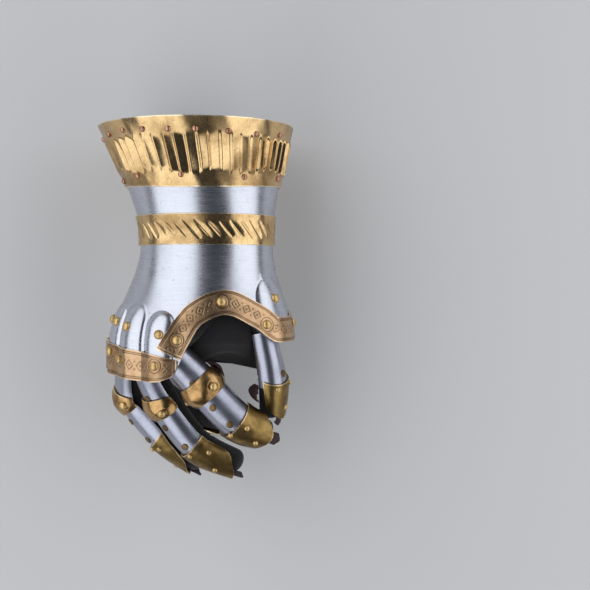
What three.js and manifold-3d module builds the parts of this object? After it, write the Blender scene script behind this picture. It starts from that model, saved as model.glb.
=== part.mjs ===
// Right-hand armoured gauntlet: a fluted steel hourglass with brass bands, fingers of small plates
// riveted to leather strips, and a cloth glove inside. Millimetres, +Z up, +Y towards the cuff.
// The gauntlet lies with the thumb at +X, and its origin is under the middle of its box.
import * as THREE from 'three';
import Module from 'manifold-3d';

const wasm = await Module();
wasm.setup();

// Driving dimensions of the steel hourglass
const cuffLength = 80;
const handLength = 118;
const rimHalfWidth = 74.5;
const rimHalfDepth = 72;
const wristHalfWidth = 51.5;
const wristHalfDepth = 40;
const handHalfWidth = 71;
const handHalfDepth = 58;
const rimShift = -3.2;
const wristShift = 5.3;
const handShift = 2;
const flarePower = 1.3;
const plateWall = 1.2;

// Driving dimensions of the brass bands
const bandWall = 1.2;
const skinGap = 0.4;
const cuffBandHeight = 47;
const cuffBandDip = 3;
const cuffFluteCount = 52;
const cuffFluteDepth = 0.8;
const cuffPlainTop = 11;
const cuffPlainFoot = 8;
const wristBandAbove = 11;
const wristBandBelow = 12;
const archBandWidth = 18.5;
const knuckleBandWidth = 20;

// Driving dimensions of the fingers
const fingerRadius = 11.2;
const leatherWall = 1.2;
const fingerPlateWall = 1;
const layerGap = 0.45;
const brassGap = 0.8;
const clothEase = 0.6;
const copLength = 18.5;
const copBulge = 2.6;
const tipBaseCurve = 2.5;
const tipRound = 5;
const plateHalfSpan = 96;
const thumbTipHalfSpan = 74;
const leatherHalfSpan = 24;
const leatherTab = 4;
const gloveWall = 1.6;
const gloveSeam = 0.3;
const tipFrom = 1.85;

// Driving dimensions of the rivets
const rivetRadius = 3.6;
const rivetHeight = 2.5;
const copRivetRadius = 3.2;

// Roll in degrees with which the gauntlet settles on its rim and little finger
const restRoll = -3.6;

const degree = Math.PI / 180;

// Lower edge of the steel plate round the hand: angle about the axis (0 at the thumb side, 90 on top,
// 180 at the outer side), and how far it reaches, as a share of handLength
const lowerEdge = [
  { angle: 0, reach: 0.69 },
  { angle: 20, reach: 0.715 },
  { angle: 38, reach: 0.722 },
  { angle: 55, reach: 0.62 },
  { angle: 73, reach: 0.547 },
  { angle: 87, reach: 0.602 },
  { angle: 95, reach: 0.737 },
  { angle: 100, reach: 0.839 },
  { angle: 105, reach: 0.936 },
  { angle: 115, reach: 0.966 },
  { angle: 140, reach: 0.947 },
  { angle: 170, reach: 0.907 },
  { angle: 190, reach: 0.873 },
  { angle: 202, reach: 0.8 },
  { angle: 212, reach: 0.5 },
  { angle: 224, reach: 0.21 },
  { angle: 240, reach: 0.186 },
  { angle: 328, reach: 0.186 },
  { angle: 338, reach: 0.38 },
  { angle: 349, reach: 0.67 },
];

// Raised flutes over the knuckles, each a long ridge with a round top and a clear outline: angle and
// half width in degrees, top as a share of handLength, height as a share of fluteHeight, and its
// rivet as an angle and a share of handLength
const fluteHeight = 3.8;
const flutes = [
  { name: 'thumb', angle: 31, half: 17.5, top: 0.305, height: 1.1, rivetAngle: 33, rivet: 0.444 },
  { name: 'index', angle: 114, half: 9.2, top: 0.525, height: 1, rivetAngle: 112.3, rivet: 0.67 },
  { name: 'middle', angle: 136.5, half: 10.5, top: 0.475, height: 1, rivetAngle: 138, rivet: 0.621 },
  { name: 'ring', angle: 157.5, half: 9.5, top: 0.47, height: 0.75, rivetAngle: 154, rivet: 0.592 },
  { name: 'little', angle: 176.5, half: 9, top: 0.48, height: 0.5, rivetAngle: 177, rivet: 0.58 },
];

// Rivets of the brass borders: angle, and place across the border as a share of its width
const archRivets = [
  { angle: 95.2, share: 0.47 },
  { angle: 74.4, share: 0.53 },
  { angle: 49.5, share: 0.4 },
  { angle: 9.5, share: 0.66 },
];
const knuckleRivets = [
  { angle: 114, share: 0.6 },
  { angle: 141.5, share: 0.6 },
  { angle: 155, share: 0.74 },
  { angle: 184, share: 0.6 },
];

// Fingers: the root as shares of the half width, length and half depth of the hand, the elevation of
// the back of the finger (side -1 faces left, +1 right), its thickness, and for each bone its length
// as a share of handLength, its heading from straight on towards the thumb side, and its drop
const fingers = [
  {
    name: 'index', root: [-0.3, 0.765, 0.69], side: -1, elevation: 80, scale: 1,
    copRivet: { angle: -31, along: 0.66 },
    bones: [
      { length: 0.33, heading: 42.5, drop: 14 },
      { length: 0.337, heading: 44, drop: 11 },
      { length: 0.215, heading: 66, drop: 17 },
    ],
  },
  {
    name: 'middle', root: [-0.58, 0.82, 0.42], side: -1, elevation: 25, scale: 1,
    copRivet: { angle: -52, along: 0.67 },
    bones: [
      { length: 0.343, heading: 24, drop: 23 },
      { length: 0.372, heading: 36, drop: 12 },
      { length: 0.298, heading: 62, drop: 12 },
    ],
  },
  {
    name: 'ring', root: [-0.755, 0.847, 0.07], side: -1, elevation: 0, scale: 0.98,
    copRivet: { angle: -66, along: 0.42 },
    bones: [
      { length: 0.3, heading: 2, drop: 34 },
      { length: 0.349, heading: 38, drop: 5 },
      { length: 0.295, heading: 50, drop: 12 },
    ],
  },
  {
    name: 'little', root: [-0.66, 0.84, -0.49], side: -1, elevation: -15, scale: 0.92,
    copRivet: { angle: -60, along: 0.5 },
    bones: [
      { length: 0.34, heading: 17, drop: 43 },
      { length: 0.268, heading: 56, drop: 5 },
      { length: 0.3, heading: 72, drop: 9.5 },
    ],
  },
  {
    name: 'thumb', root: [0.68, 0.645, 0.36], side: 1, elevation: 39, scale: 0.88,
    bones: [
      { length: 0.348, heading: 10, drop: 10 },
      { length: 0.245, heading: -1, drop: 26 },
    ],
  },
];
const rootNarrowing = 0.82;
const tipNarrowing = 0.86;

// Glove round the wrist, palm and web between thumb and index finger: sections along the hand, with the
// centre as shares of the plate's half sizes there, half sizes as shares of the room inside the plate,
// and how far the middle of a section stays behind its sides, as a share of handLength
const wristSections = [
  { reach: -0.1, x: 0, z: 0, breadth: 0.96, depth: 0.96, turn: 0, sag: 0 },
  { reach: 0.05, x: 0, z: 0, breadth: 0.985, depth: 0.98, turn: 0, sag: 0 },
  { reach: 0.13, x: 0, z: 0, breadth: 0.97, depth: 0.95, turn: 0, sag: 0 },
];
const palmSections = [
  { reach: 0.13, x: 0, z: 0, breadth: 0.97, depth: 0.95, turn: 0, sag: 0 },
  { reach: 0.34, x: -0.1, z: 0.04, breadth: 0.79, depth: 0.79, turn: 12, sag: 0 },
  { reach: 0.55, x: -0.25, z: 0.09, breadth: 0.68, depth: 0.63, turn: 34, sag: 0 },
  { reach: 0.72, x: -0.45, z: 0.12, breadth: 0.61, depth: 0.46, turn: 58, sag: 0 },
  { reach: 0.82, x: -0.56, z: 0.14, breadth: 0.53, depth: 0.3, turn: 66, sag: 0 },
  { reach: 0.86, x: -0.58, z: 0.14, breadth: 0.42, depth: 0.14, turn: 66, sag: 0 },
];
const webSections = [
  { reach: 0.36, x: 0.05, z: 0.25, breadth: 0.53, depth: 0.55, turn: 0, sag: 0 },
  { reach: 0.6, x: 0.19, z: 0.35, breadth: 0.47, depth: 0.34, turn: -8, sag: 0 },
  { reach: 0.76, x: 0.23, z: 0.34, breadth: 0.42, depth: 0.26, turn: -12, sag: 0.03 },
  { reach: 0.87, x: 0.26, z: 0.31, breadth: 0.4, depth: 0.17, turn: -14, sag: 0.09 },
  { reach: 0.92, x: 0.27, z: 0.3, breadth: 0.37, depth: 0.07, turn: -14, sag: 0.12 },
];

// Finishes
const steel = new THREE.MeshStandardMaterial({ color: 0xb9bcc0, roughness: 0.32, metalness: 1 });
const paleBrass = new THREE.MeshStandardMaterial({ color: 0xcbb27a, roughness: 0.3, metalness: 1 });
const warmBrass = new THREE.MeshStandardMaterial({ color: 0xb8936a, roughness: 0.42, metalness: 1 });
const agedBrass = new THREE.MeshStandardMaterial({ color: 0xa68650, roughness: 0.4, metalness: 1 });
const leather = new THREE.MeshStandardMaterial({ color: 0x3a2624, roughness: 0.75, metalness: 0 });
const cloth = new THREE.MeshStandardMaterial({ color: 0x17161a, roughness: 0.95, metalness: 0 });

// Small sums
function mix(from, to, share) {
  return from + (to - from) * share;
}

function smooth(from, to, value) {
  const share = Math.min(1, Math.max(0, (value - from) / (to - from)));
  return share * share * (3 - 2 * share);
}

// Value of a column of a closed table of angles, without overshoot between its rows
function roundTable(rows, column, angle) {
  const turn = ((angle % 360) + 360) % 360;
  const count = rows.length;
  const at = (i) => rows[((i % count) + count) % count];
  const place = (i) => at(i).angle + 360 * Math.floor(i / count);
  let low = count - 1;
  while (low >= 0 && rows[low].angle > turn) {
    low -= 1;
  }
  const slope = (i) => (at(i + 1)[column] - at(i)[column]) / (place(i + 1) - place(i));
  const tangent = (i) => {
    const before = slope(i - 1);
    const after = slope(i);
    return before * after <= 0 ? 0 : (2 * before * after) / (before + after);
  };
  const span = place(low + 1) - place(low);
  const s = (turn - place(low)) / span;
  const rise = at(low + 1)[column] - at(low)[column];
  const start = tangent(low) * span;
  const end = tangent(low + 1) * span;
  return at(low)[column] + s * start + s * s * (3 * rise - 2 * start - end)
    + s * s * s * (start + end - 2 * rise);
}

function edgeY(angle) {
  return -handLength * roundTable(lowerEdge, 'reach', angle);
}

// Half width, half depth and sideways shift of the hourglass at a distance along it
function sectionAt(y) {
  if (y >= 0) {
    const share = (y / cuffLength) ** flarePower;
    return {
      width: mix(wristHalfWidth, rimHalfWidth, share),
      depth: mix(wristHalfDepth, rimHalfDepth, share),
      shift: mix(wristShift, rimShift, share),
    };
  }
  const share = smooth(0.1, 0.75, -y / handLength);
  return {
    width: mix(wristHalfWidth, handHalfWidth, share),
    depth: mix(wristHalfDepth, handHalfDepth, share),
    shift: mix(wristShift, handShift, share),
  };
}

// The highest ridge at a place, from how each flute's profile falls off with the distance from its
// middle line, in half widths
function highestRidge(angle, y, profile) {
  let lift = 0;
  for (const flute of flutes) {
    const across = (((angle - flute.angle + 540) % 360) - 180) / flute.half;
    const radius = flute.half * degree * sectionAt(y).width;
    const above = Math.max(0, y + flute.top * handLength + radius) / radius;
    lift = Math.max(lift, fluteHeight * flute.height * profile(Math.hypot(across, above)));
  }
  return lift;
}

function fluteLift(angle, y) {
  return highestRidge(angle, y, (far) => Math.max(0, 1 - far * far) ** 0.6);
}

// The brass borders cross the flutes in wider, gentler waves that clear them
function waveLift(angle, y) {
  return highestRidge(angle, y, (far) => 1.05 * Math.cos(0.5 * Math.PI * Math.min(1, far / 1.9)) ** 2);
}

function onSection(angle, y, out) {
  const { width, depth, shift } = sectionAt(y);
  const turn = angle * degree;
  return new THREE.Vector3(
    shift + (width + out) * Math.cos(turn), y, (depth + out) * Math.sin(turn));
}

// A point on the steel, raised above its outer face by lift
function onPlate(angle, y, lift) {
  return onSection(angle, y, lift + fluteLift(angle, y));
}

// A point on the skin that the borders lie on
function onBorder(angle, y, lift) {
  return onSection(angle, y, lift + waveLift(angle, y));
}

function faceNormal(face, angle, y) {
  const step = 0.5;
  const around = face(angle + step, y, 0).sub(face(angle - step, y, 0));
  const along = face(angle, y + step, 0).sub(face(angle, y - step, 0));
  return along.cross(around).normalize();
}

// Closed solids from grids
function solidFrom(points, triangles) {
  const positions = new Float32Array(points.length * 3);
  points.forEach((point, i) => point.toArray(positions, i * 3));
  let volume = 0;
  for (let i = 0; i < triangles.length; i += 3) {
    const [a, b, c] = [points[triangles[i]], points[triangles[i + 1]], points[triangles[i + 2]]];
    volume += a.dot(b.clone().cross(c));
  }
  const order = volume < 0 ? triangles.slice().reverse() : triangles;
  const geometry = new THREE.BufferGeometry();
  geometry.setAttribute('position', new THREE.BufferAttribute(positions, 3));
  geometry.setIndex(order);
  geometry.computeVertexNormals();
  return geometry;
}

// A wall between an outer and an inner skin: point(column, row, inner) gives its corners. A ring wall
// closes on itself round its columns.
function wallSolid(columns, rows, ring, point) {
  const across = ring ? columns : columns + 1;
  const points = [];
  for (const inner of [false, true]) {
    for (let row = 0; row <= rows; row += 1) {
      for (let column = 0; column < across; column += 1) {
        points.push(point(column, row, inner));
      }
    }
  }
  const layer = across * (rows + 1);
  const at = (column, row, inner) => (inner ? layer : 0) + row * across + (column % across);
  const triangles = [];
  const quad = (a, b, c, d) => triangles.push(a, b, c, a, c, d);
  for (let column = 0; column < columns; column += 1) {
    for (let row = 0; row < rows; row += 1) {
      quad(at(column, row, false), at(column + 1, row, false),
        at(column + 1, row + 1, false), at(column, row + 1, false));
      quad(at(column, row, true), at(column, row + 1, true),
        at(column + 1, row + 1, true), at(column + 1, row, true));
    }
    quad(at(column, 0, true), at(column + 1, 0, true), at(column + 1, 0, false), at(column, 0, false));
    quad(at(column, rows, false), at(column + 1, rows, false),
      at(column + 1, rows, true), at(column, rows, true));
  }
  if (!ring) {
    for (let row = 0; row < rows; row += 1) {
      quad(at(0, row, false), at(0, row + 1, false), at(0, row + 1, true), at(0, row, true));
      quad(at(columns, row, true), at(columns, row + 1, true),
        at(columns, row + 1, false), at(columns, row, false));
    }
  }
  return solidFrom(points, triangles);
}

// A closed tube through rings of points, with a flat lid at each end
function loftSolid(rings) {
  const sides = rings[0].length;
  const points = rings.flat();
  const triangles = [];
  for (let ring = 0; ring < rings.length - 1; ring += 1) {
    for (let side = 0; side < sides; side += 1) {
      const next = (side + 1) % sides;
      const a = ring * sides + side;
      const b = ring * sides + next;
      triangles.push(a, b, b + sides, a, b + sides, a + sides);
    }
  }
  const middle = (ring) => ring
    .reduce((sum, point) => sum.add(point), new THREE.Vector3())
    .divideScalar(sides);
  const first = points.push(middle(rings[0])) - 1;
  const last = points.push(middle(rings[rings.length - 1])) - 1;
  const top = (rings.length - 1) * sides;
  for (let side = 0; side < sides; side += 1) {
    const next = (side + 1) % sides;
    triangles.push(first, next, side, last, top + side, top + next);
  }
  return solidFrom(points, triangles);
}

// Cuts and joins
function toManifold(geometry) {
  return new wasm.Manifold(new wasm.Mesh({
    numProp: 3,
    vertProperties: geometry.getAttribute('position').array,
    triVerts: new Uint32Array(geometry.getIndex().array),
  }));
}

function fromManifold(solid) {
  const { vertProperties, triVerts } = solid.getMesh();
  const geometry = new THREE.BufferGeometry();
  geometry.setAttribute('position', new THREE.BufferAttribute(new Float32Array(vertProperties), 3));
  geometry.setIndex(Array.from(triVerts));
  geometry.computeVertexNormals();
  return geometry;
}

function addNode(parent, name, geometry, material) {
  const mesh = new THREE.Mesh(geometry, material);
  mesh.name = name;
  parent.add(mesh);
  return mesh;
}

// The steel hourglass: close columns over the fluted back of the hand, wider ones under the palm
const backFrom = 15;
const backTo = 207;
const backColumns = 46;
const palmColumns = 10;
const plateAngles = [];
for (let i = 0; i < backColumns; i += 1) {
  plateAngles.push(mix(backFrom, backTo, i / backColumns));
}
for (let i = 0; i < palmColumns; i += 1) {
  plateAngles.push(mix(backTo, backFrom + 360, i / palmColumns));
}
const cuffBandFoot = cuffLength - cuffBandHeight;
const cuffMiddle = mix(cuffBandFoot, cuffLength, 0.5);
const upperRows = [cuffLength, cuffMiddle, cuffBandFoot, wristBandAbove, 0, -wristBandBelow];
const handRows = [0.2, 0.4, 0.6, 0.81, 1];

function plateRowY(row, angle) {
  if (row < upperRows.length) {
    return upperRows[row];
  }
  return mix(-wristBandBelow, edgeY(angle), handRows[row - upperRows.length]);
}

function makeHandPlate() {
  const rows = upperRows.length + handRows.length - 1;
  return wallSolid(plateAngles.length, rows, true, (column, row, inner) => {
    const angle = plateAngles[column % plateAngles.length];
    return onPlate(angle, plateRowY(row, angle), inner ? -plateWall : 0);
  });
}

// The brass bands lie on the steel as skins
function makeCuffBand() {
  const columns = cuffFluteCount * 2;
  const rowYs = [cuffLength, cuffLength - cuffPlainTop, cuffBandFoot + cuffPlainFoot, cuffBandFoot];
  return wallSolid(columns, rowYs.length - 1, true, (column, row, inner) => {
    const angle = (column / columns) * (2 * Math.PI) / degree;
    const front = Math.max(0, Math.sin(angle * degree)) ** 2;
    const foot = row === rowYs.length - 1 ? cuffBandDip * front : 0;
    const fluted = row > 0 && row < rowYs.length - 1;
    const groove = fluted && column % 2 === 1 ? cuffFluteDepth : 0;
    const lift = inner ? skinGap : skinGap + bandWall - groove;
    return onPlate(angle, rowYs[row] - foot, lift);
  });
}

function makeWristBand() {
  const rowYs = [wristBandAbove, 0, -wristBandBelow];
  return wallSolid(plateAngles.length, rowYs.length - 1, true, (column, row, inner) => onPlate(
    plateAngles[column % plateAngles.length], rowYs[row], inner ? skinGap : skinGap + bandWall));
}

// The arch border keeps its width across the lower edge of the plate, from the knuckle border round
// the arch to below the thumb
const archFrom = 99.6;
const archTo = -9;
const archColumns = 30;

function archPoint(angle, share) {
  const step = 0.5;
  const { width, depth } = sectionAt(edgeY(angle));
  const pace = Math.hypot(width * Math.sin(angle * degree), depth * Math.cos(angle * degree)) * degree;
  const rise = (edgeY(angle + step) - edgeY(angle - step)) / (2 * step * pace);
  const lean = 1 / Math.hypot(1, rise);
  const across = share * archBandWidth;
  return { angle: angle - (rise * lean * across) / pace, y: edgeY(angle) + lean * across };
}

function makeArchBand() {
  const rows = 2;
  return wallSolid(archColumns, rows, false, (column, row, inner) => {
    const place = archPoint(mix(archFrom, archTo, column / archColumns), row / rows);
    return onBorder(place.angle, place.y, inner ? skinGap : skinGap + bandWall);
  });
}

// The knuckle border ends at the arch border in a rounded corner
const knuckleFrom = 101.5;
const knuckleTo = 206;
const knuckleColumns = 30;

function knuckleTop(angle) {
  const share = (angle - knuckleFrom) / (knuckleTo - knuckleFrom);
  return edgeY(archFrom) - skinGap + knuckleBandWidth * 0.95 * share ** 0.7;
}

function makeKnuckleBand() {
  const rows = 2;
  return wallSolid(knuckleColumns, rows, false, (column, row, inner) => {
    const angle = mix(knuckleFrom, knuckleTo, column / knuckleColumns);
    const y = mix(edgeY(angle), knuckleTop(angle), row / rows);
    return onBorder(angle, y, inner ? skinGap : skinGap + bandWall);
  });
}

// Dome rivets
function domeSolid(centre, normal, radius, height) {
  const profile = [
    [0, 0], [1, 0], [0.78, 0.7], [0, 1],
  ].map(([r, h]) => new THREE.Vector2(r * radius, h * height));
  const dome = new THREE.LatheGeometry(profile, 8);
  const turn = new THREE.Quaternion().setFromUnitVectors(new THREE.Vector3(0, 1, 0), normal);
  dome.applyQuaternion(turn);
  dome.translate(centre.x, centre.y, centre.z);
  return dome;
}

// How far a point stands above a face
function heightAbove(face, point) {
  const { width, depth, shift } = sectionAt(point.y);
  const angle = Math.atan2(point.z / depth, (point.x - shift) / width) / degree;
  const below = face(angle, point.y, 0);
  return Math.hypot(point.x - shift, point.z) - Math.hypot(below.x - shift, below.z);
}

// A dome whose flat foot rests on the highest places of a face below it
function faceRivet(face, angle, y, lift) {
  const centre = face(angle, y, 0);
  const normal = faceNormal(face, angle, y);
  const across = new THREE.Vector3(0, 1, 0).cross(normal).normalize();
  const along = normal.clone().cross(across);
  let lowest = 0;
  for (let turn = 0; turn < 2 * Math.PI; turn += Math.PI / 4) {
    const foot = centre.clone()
      .addScaledVector(across, rivetRadius * Math.cos(turn))
      .addScaledVector(along, rivetRadius * Math.sin(turn));
    lowest = Math.min(lowest, heightAbove(face, foot));
  }
  centre.addScaledVector(normal, lift - lowest);
  return domeSolid(centre, normal, rivetRadius, rivetHeight);
}

// Fingers: a smooth axis through the joints, with the back of the finger as the zero of its angle
function makeFinger(row) {
  const [x, reach, z] = row.root;
  const joints = [new THREE.Vector3(x * handHalfWidth, -reach * handLength, z * handHalfDepth)];
  const lengths = [];
  for (const bone of row.bones) {
    const heading = bone.heading * degree;
    const drop = bone.drop * degree;
    const way = new THREE.Vector3(
      Math.sin(heading) * Math.cos(drop), -Math.cos(heading) * Math.cos(drop), -Math.sin(drop));
    lengths.push(bone.length * handLength);
    joints.push(joints[joints.length - 1].clone().addScaledVector(way, bone.length * handLength));
  }
  const up = row.elevation * degree;
  return {
    ...row,
    lengths,
    last: row.bones.length,
    curve: new THREE.CatmullRomCurve3(joints, false, 'centripetal'),
    back: new THREE.Vector3(row.side * Math.cos(up), 0, Math.sin(up)),
  };
}

// A point of a finger at joint count q (0 at its root), an angle from its back and a radius, which
// narrows towards the root and the tip
function onFinger(finger, q, angle, radius) {
  const held = Math.min(finger.last, Math.max(0, q));
  const share = held / finger.last;
  const centre = finger.curve.getPoint(share);
  const way = finger.curve.getTangent(share);
  const bone = Math.min(finger.last - 1, Math.max(0, Math.floor(held)));
  centre.addScaledVector(way, (q - held) * finger.lengths[bone]);
  const back = finger.back.clone().addScaledVector(way, -finger.back.dot(way)).normalize();
  const flank = way.clone().cross(back);
  const rootShare = mix(rootNarrowing, 1, Math.min(1, Math.max(0, q)));
  const tipShare = mix(1, tipNarrowing, Math.max(0, q - finger.last + 1));
  const reach = radius * finger.scale * rootShare * tipShare;
  const turn = angle * degree;
  return centre.addScaledVector(back, reach * Math.cos(turn)).addScaledVector(flank, reach * Math.sin(turn));
}

const leatherInner = fingerRadius + clothEase;
const steelInner = leatherInner + leatherWall + layerGap;
const brassInner = steelInner + fingerPlateWall + brassGap;

// Stations along a finger: both ends, and every third of a bone between them, so that plates that lie
// on each other bend at the same places
function stations(from, to) {
  const third = 1 / 3;
  const list = [from];
  for (let i = Math.ceil(from / third + 0.2); i * third < to - 0.2 * third; i += 1) {
    list.push(i * third);
  }
  list.push(to);
  return list;
}

// A bent plate on a finger: shape(across, along) gives the joint count and angle of its outline and
// how far it bulges
function fingerPlate(finger, columns, rows, innerRadius, wall, shape) {
  return wallSolid(columns, rows, false, (column, row, inner) => {
    const across = (2 * column) / columns - 1;
    const { q, half, bulge } = shape(across, row / rows);
    return onFinger(finger, q, across * half, innerRadius + bulge + (inner ? 0 : wall));
  });
}

function plainPlate(finger, from, to) {
  const places = stations(from, to);
  const rows = places.length - 1;
  return fingerPlate(finger, 8, rows, steelInner, fingerPlateWall, (across, along) => ({
    q: places[Math.round(along * rows)], half: plateHalfSpan, bulge: 0,
  }));
}

// The cop wraps round the joint as a fat roll with rounded ends
function copPlace(finger, across, along) {
  const before = copLength / 2 / finger.lengths[0];
  const after = copLength / 2 / finger.lengths[1];
  return {
    q: mix(1 - before, 1 + after, mix(0.5, along, 1 - 0.35 * across ** 4)),
    half: plateHalfSpan,
    bulge: copBulge * Math.sin(Math.PI * along) * (1 - 0.6 * across ** 4),
  };
}

function knuckleCop(finger) {
  return fingerPlate(finger, 8, 4, brassInner, fingerPlateWall, (across, along) => (
    copPlace(finger, across, along)
  ));
}

// A cop's rivet stands square to the cop's face
function copRivet(finger) {
  const { angle, along } = finger.copRivet;
  const onCop = (turn, share) => {
    const { q, bulge } = copPlace(finger, turn / plateHalfSpan, share);
    return onFinger(finger, q, turn, brassInner + bulge + fingerPlateWall);
  };
  const round = onCop(angle + 5, along).sub(onCop(angle - 5, along));
  const down = onCop(angle, along + 0.1).sub(onCop(angle, along - 0.1));
  const foot = onCop(angle, along);
  const outward = foot.clone().sub(onFinger(finger, 1, angle, 0));
  const out = round.cross(down).normalize();
  out.multiplyScalar(Math.sign(out.dot(outward)));
  return domeSolid(foot.addScaledVector(out, layerGap), out, copRivetRadius, rivetHeight);
}

function tipPlate(finger, from, halfSpan) {
  const bone = finger.lengths[finger.last - 1];
  return fingerPlate(finger, 8, 5, brassInner, fingerPlateWall, (across, along) => ({
    q: mix(from + (tipBaseCurve / bone) * (1 - across * across), finger.last, along)
      - (tipRound / bone) * smooth(0.6, 1, along) * across ** 2,
    half: halfSpan * Math.sqrt(1 - 0.82 * along ** 2.6),
    bulge: 0,
  }));
}

function leatherStrip(finger, from, to) {
  const places = stations(from, to);
  const rows = places.length - 1;
  return fingerPlate(finger, 2, rows, leatherInner, leatherWall, (across, along) => ({
    q: places[Math.round(along * rows)], half: leatherHalfSpan, bulge: 0,
  }));
}

// Glove fingers: tubes closed at the tip and open into the palm
const gloveSides = 8;
const gloveRoot = -0.25;
const gloveEnd = [
  { over: -0.1, radius: 1 },
  { over: 0.04, radius: 0.82 },
  { over: 0.1, radius: 0.42 },
];

function fingerTube(finger, from, radius, endShift) {
  const rings = [{ q: from, radius }];
  for (let q = 0; q < finger.last - 0.25; q += 0.5) {
    rings.push({ q, radius });
  }
  for (const row of gloveEnd) {
    rings.push({ q: finger.last + row.over - endShift, radius: radius * row.radius });
  }
  return loftSolid(rings.map((ring) => Array.from({ length: gloveSides }, (_, side) => onFinger(
    finger, ring.q, (360 * side) / gloveSides, ring.radius))));
}

function gloveFinger(finger, from) {
  const thin = gloveWall / finger.lengths[finger.last - 1];
  const outer = toManifold(fingerTube(finger, from, fingerRadius, 0));
  const inner = toManifold(fingerTube(finger, from - thin, fingerRadius - gloveWall, thin));
  return fromManifold(outer.subtract(inner));
}

// Glove body: lofts through the sections, inset for their hollow, with both ends moved along
function gloveLoft(rows, inset, startShift, endShift) {
  const sides = 16;
  const ease = plateWall + clothEase;
  return toManifold(loftSolid(rows.map((row, i) => {
    const start = i === 0 ? startShift : 0;
    const end = i === rows.length - 1 ? endShift : 0;
    const turn = row.turn * degree;
    const room = sectionAt(-row.reach * handLength);
    return Array.from({ length: sides }, (_, side) => {
      const angle = (2 * Math.PI * side) / sides;
      const along = Math.max(1, row.breadth * (room.width - ease) - inset) * Math.cos(angle);
      const up = Math.max(1, row.depth * (room.depth - ease) - inset) * Math.sin(angle);
      const behind = row.sag * handLength * Math.sin(angle) ** 2;
      return new THREE.Vector3(
        room.shift + row.x * room.width + along * Math.cos(turn) - up * Math.sin(turn),
        -row.reach * handLength + start + end + behind,
        row.z * room.depth + along * Math.sin(turn) + up * Math.cos(turn),
      );
    });
  })));
}

function makeGloveCuff() {
  const outer = gloveLoft(wristSections, 0, 0, gloveSeam);
  return fromManifold(outer.subtract(gloveLoft(wristSections, gloveWall, gloveWall, -gloveWall)));
}

function makePalm(hand) {
  const outer = gloveLoft(palmSections, 0, 0, 0).add(gloveLoft(webSections, 0, 0, 0));
  const inner = gloveLoft(palmSections, gloveWall, gloveWall, gloveWall)
    .add(gloveLoft(webSections, gloveWall, gloveWall, gloveWall));
  let palm = outer.subtract(inner);
  for (const finger of hand) {
    palm = palm.subtract(toManifold(fingerTube(finger, gloveRoot * 2, fingerRadius + layerGap, 0)));
    palm = palm.subtract(toManifold(fingerPlate(
      finger, 8, 2, leatherInner - layerGap, brassInner - leatherInner + layerGap,
      (across, along) => ({ q: mix(-0.05, 0.8, along), half: plateHalfSpan + 5, bulge: 0 }))));
  }
  return fromManifold(palm);
}

// The whole hand
const gauntlet = new THREE.Group();
addNode(gauntlet, 'hand_plate', makeHandPlate(), steel);
addNode(gauntlet, 'cuff_band', makeCuffBand(), paleBrass);
addNode(gauntlet, 'wrist_band', makeWristBand(), paleBrass);
addNode(gauntlet, 'arch_band', makeArchBand(), warmBrass);
addNode(gauntlet, 'knuckle_band', makeKnuckleBand(), warmBrass);

for (const flute of flutes) {
  const rivet = faceRivet(onPlate, flute.rivetAngle, -flute.rivet * handLength, skinGap);
  addNode(gauntlet, `${flute.name}_flute_rivet`, rivet, agedBrass);
}
const bandLift = skinGap + bandWall + skinGap;
archRivets.forEach(({ angle, share }, i) => {
  const place = archPoint(angle, share);
  const rivet = faceRivet(onBorder, place.angle, place.y, bandLift);
  addNode(gauntlet, `arch_rivet_${i + 1}`, rivet, agedBrass);
});
knuckleRivets.forEach(({ angle, share }, i) => {
  const y = mix(edgeY(angle), knuckleTop(angle), share);
  addNode(gauntlet, `knuckle_rivet_${i + 1}`, faceRivet(onBorder, angle, y, bandLift), agedBrass);
});

const hand = fingers.map(makeFinger);
for (const finger of hand) {
  const isThumb = finger.last === 2;
  if (isThumb) {
    addNode(gauntlet, 'thumb_plate', plainPlate(finger, 0.02, 1.05), steel);
    addNode(gauntlet, 'thumb_tip', tipPlate(finger, 0.9, thumbTipHalfSpan), agedBrass);
  } else {
    addNode(gauntlet, `${finger.name}_proximal_plate`, plainPlate(finger, 0.04, 0.9), steel);
    addNode(gauntlet, `${finger.name}_cop`, knuckleCop(finger), agedBrass);
    addNode(gauntlet, `${finger.name}_middle_plate`, plainPlate(finger, 1.08, 1.98), steel);
    addNode(gauntlet, `${finger.name}_tip`, tipPlate(finger, tipFrom, plateHalfSpan), agedBrass);
    addNode(gauntlet, `${finger.name}_cop_rivet`, copRivet(finger), agedBrass);
  }
  const leatherEnd = finger.last + leatherTab / finger.lengths[finger.last - 1];
  addNode(gauntlet, `${finger.name}_leather`, leatherStrip(finger, 0.1, leatherEnd), leather);
  addNode(gauntlet, `${finger.name}_glove`, gloveFinger(finger, gloveRoot), cloth);
}
addNode(gauntlet, 'glove_cuff', makeGloveCuff(), cloth);
addNode(gauntlet, 'palm_glove', makePalm(hand), cloth);

// The gauntlet lies on the cuff's rim and the little finger, with its origin under its middle
gauntlet.rotation.y = restRoll * degree;
const box = new THREE.Box3().setFromObject(gauntlet, true);
const centre = box.getCenter(new THREE.Vector3());
gauntlet.position.set(-centre.x, -centre.y, -box.min.z);
const group = new THREE.Group();
group.add(gauntlet);

export default group;
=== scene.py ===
"""Right-hand armoured gauntlet: a fluted steel hourglass with brass bands, riveted finger plates,
leather strips and a dark glove. Shapes are worked out in millimetres along the hand, with the wrist at
y = 0 and the cuff at +Y, and are put into the frame in metres by into_frame()."""
import math

import bpy
import numpy as np
from mathutils import Matrix, Vector


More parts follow.
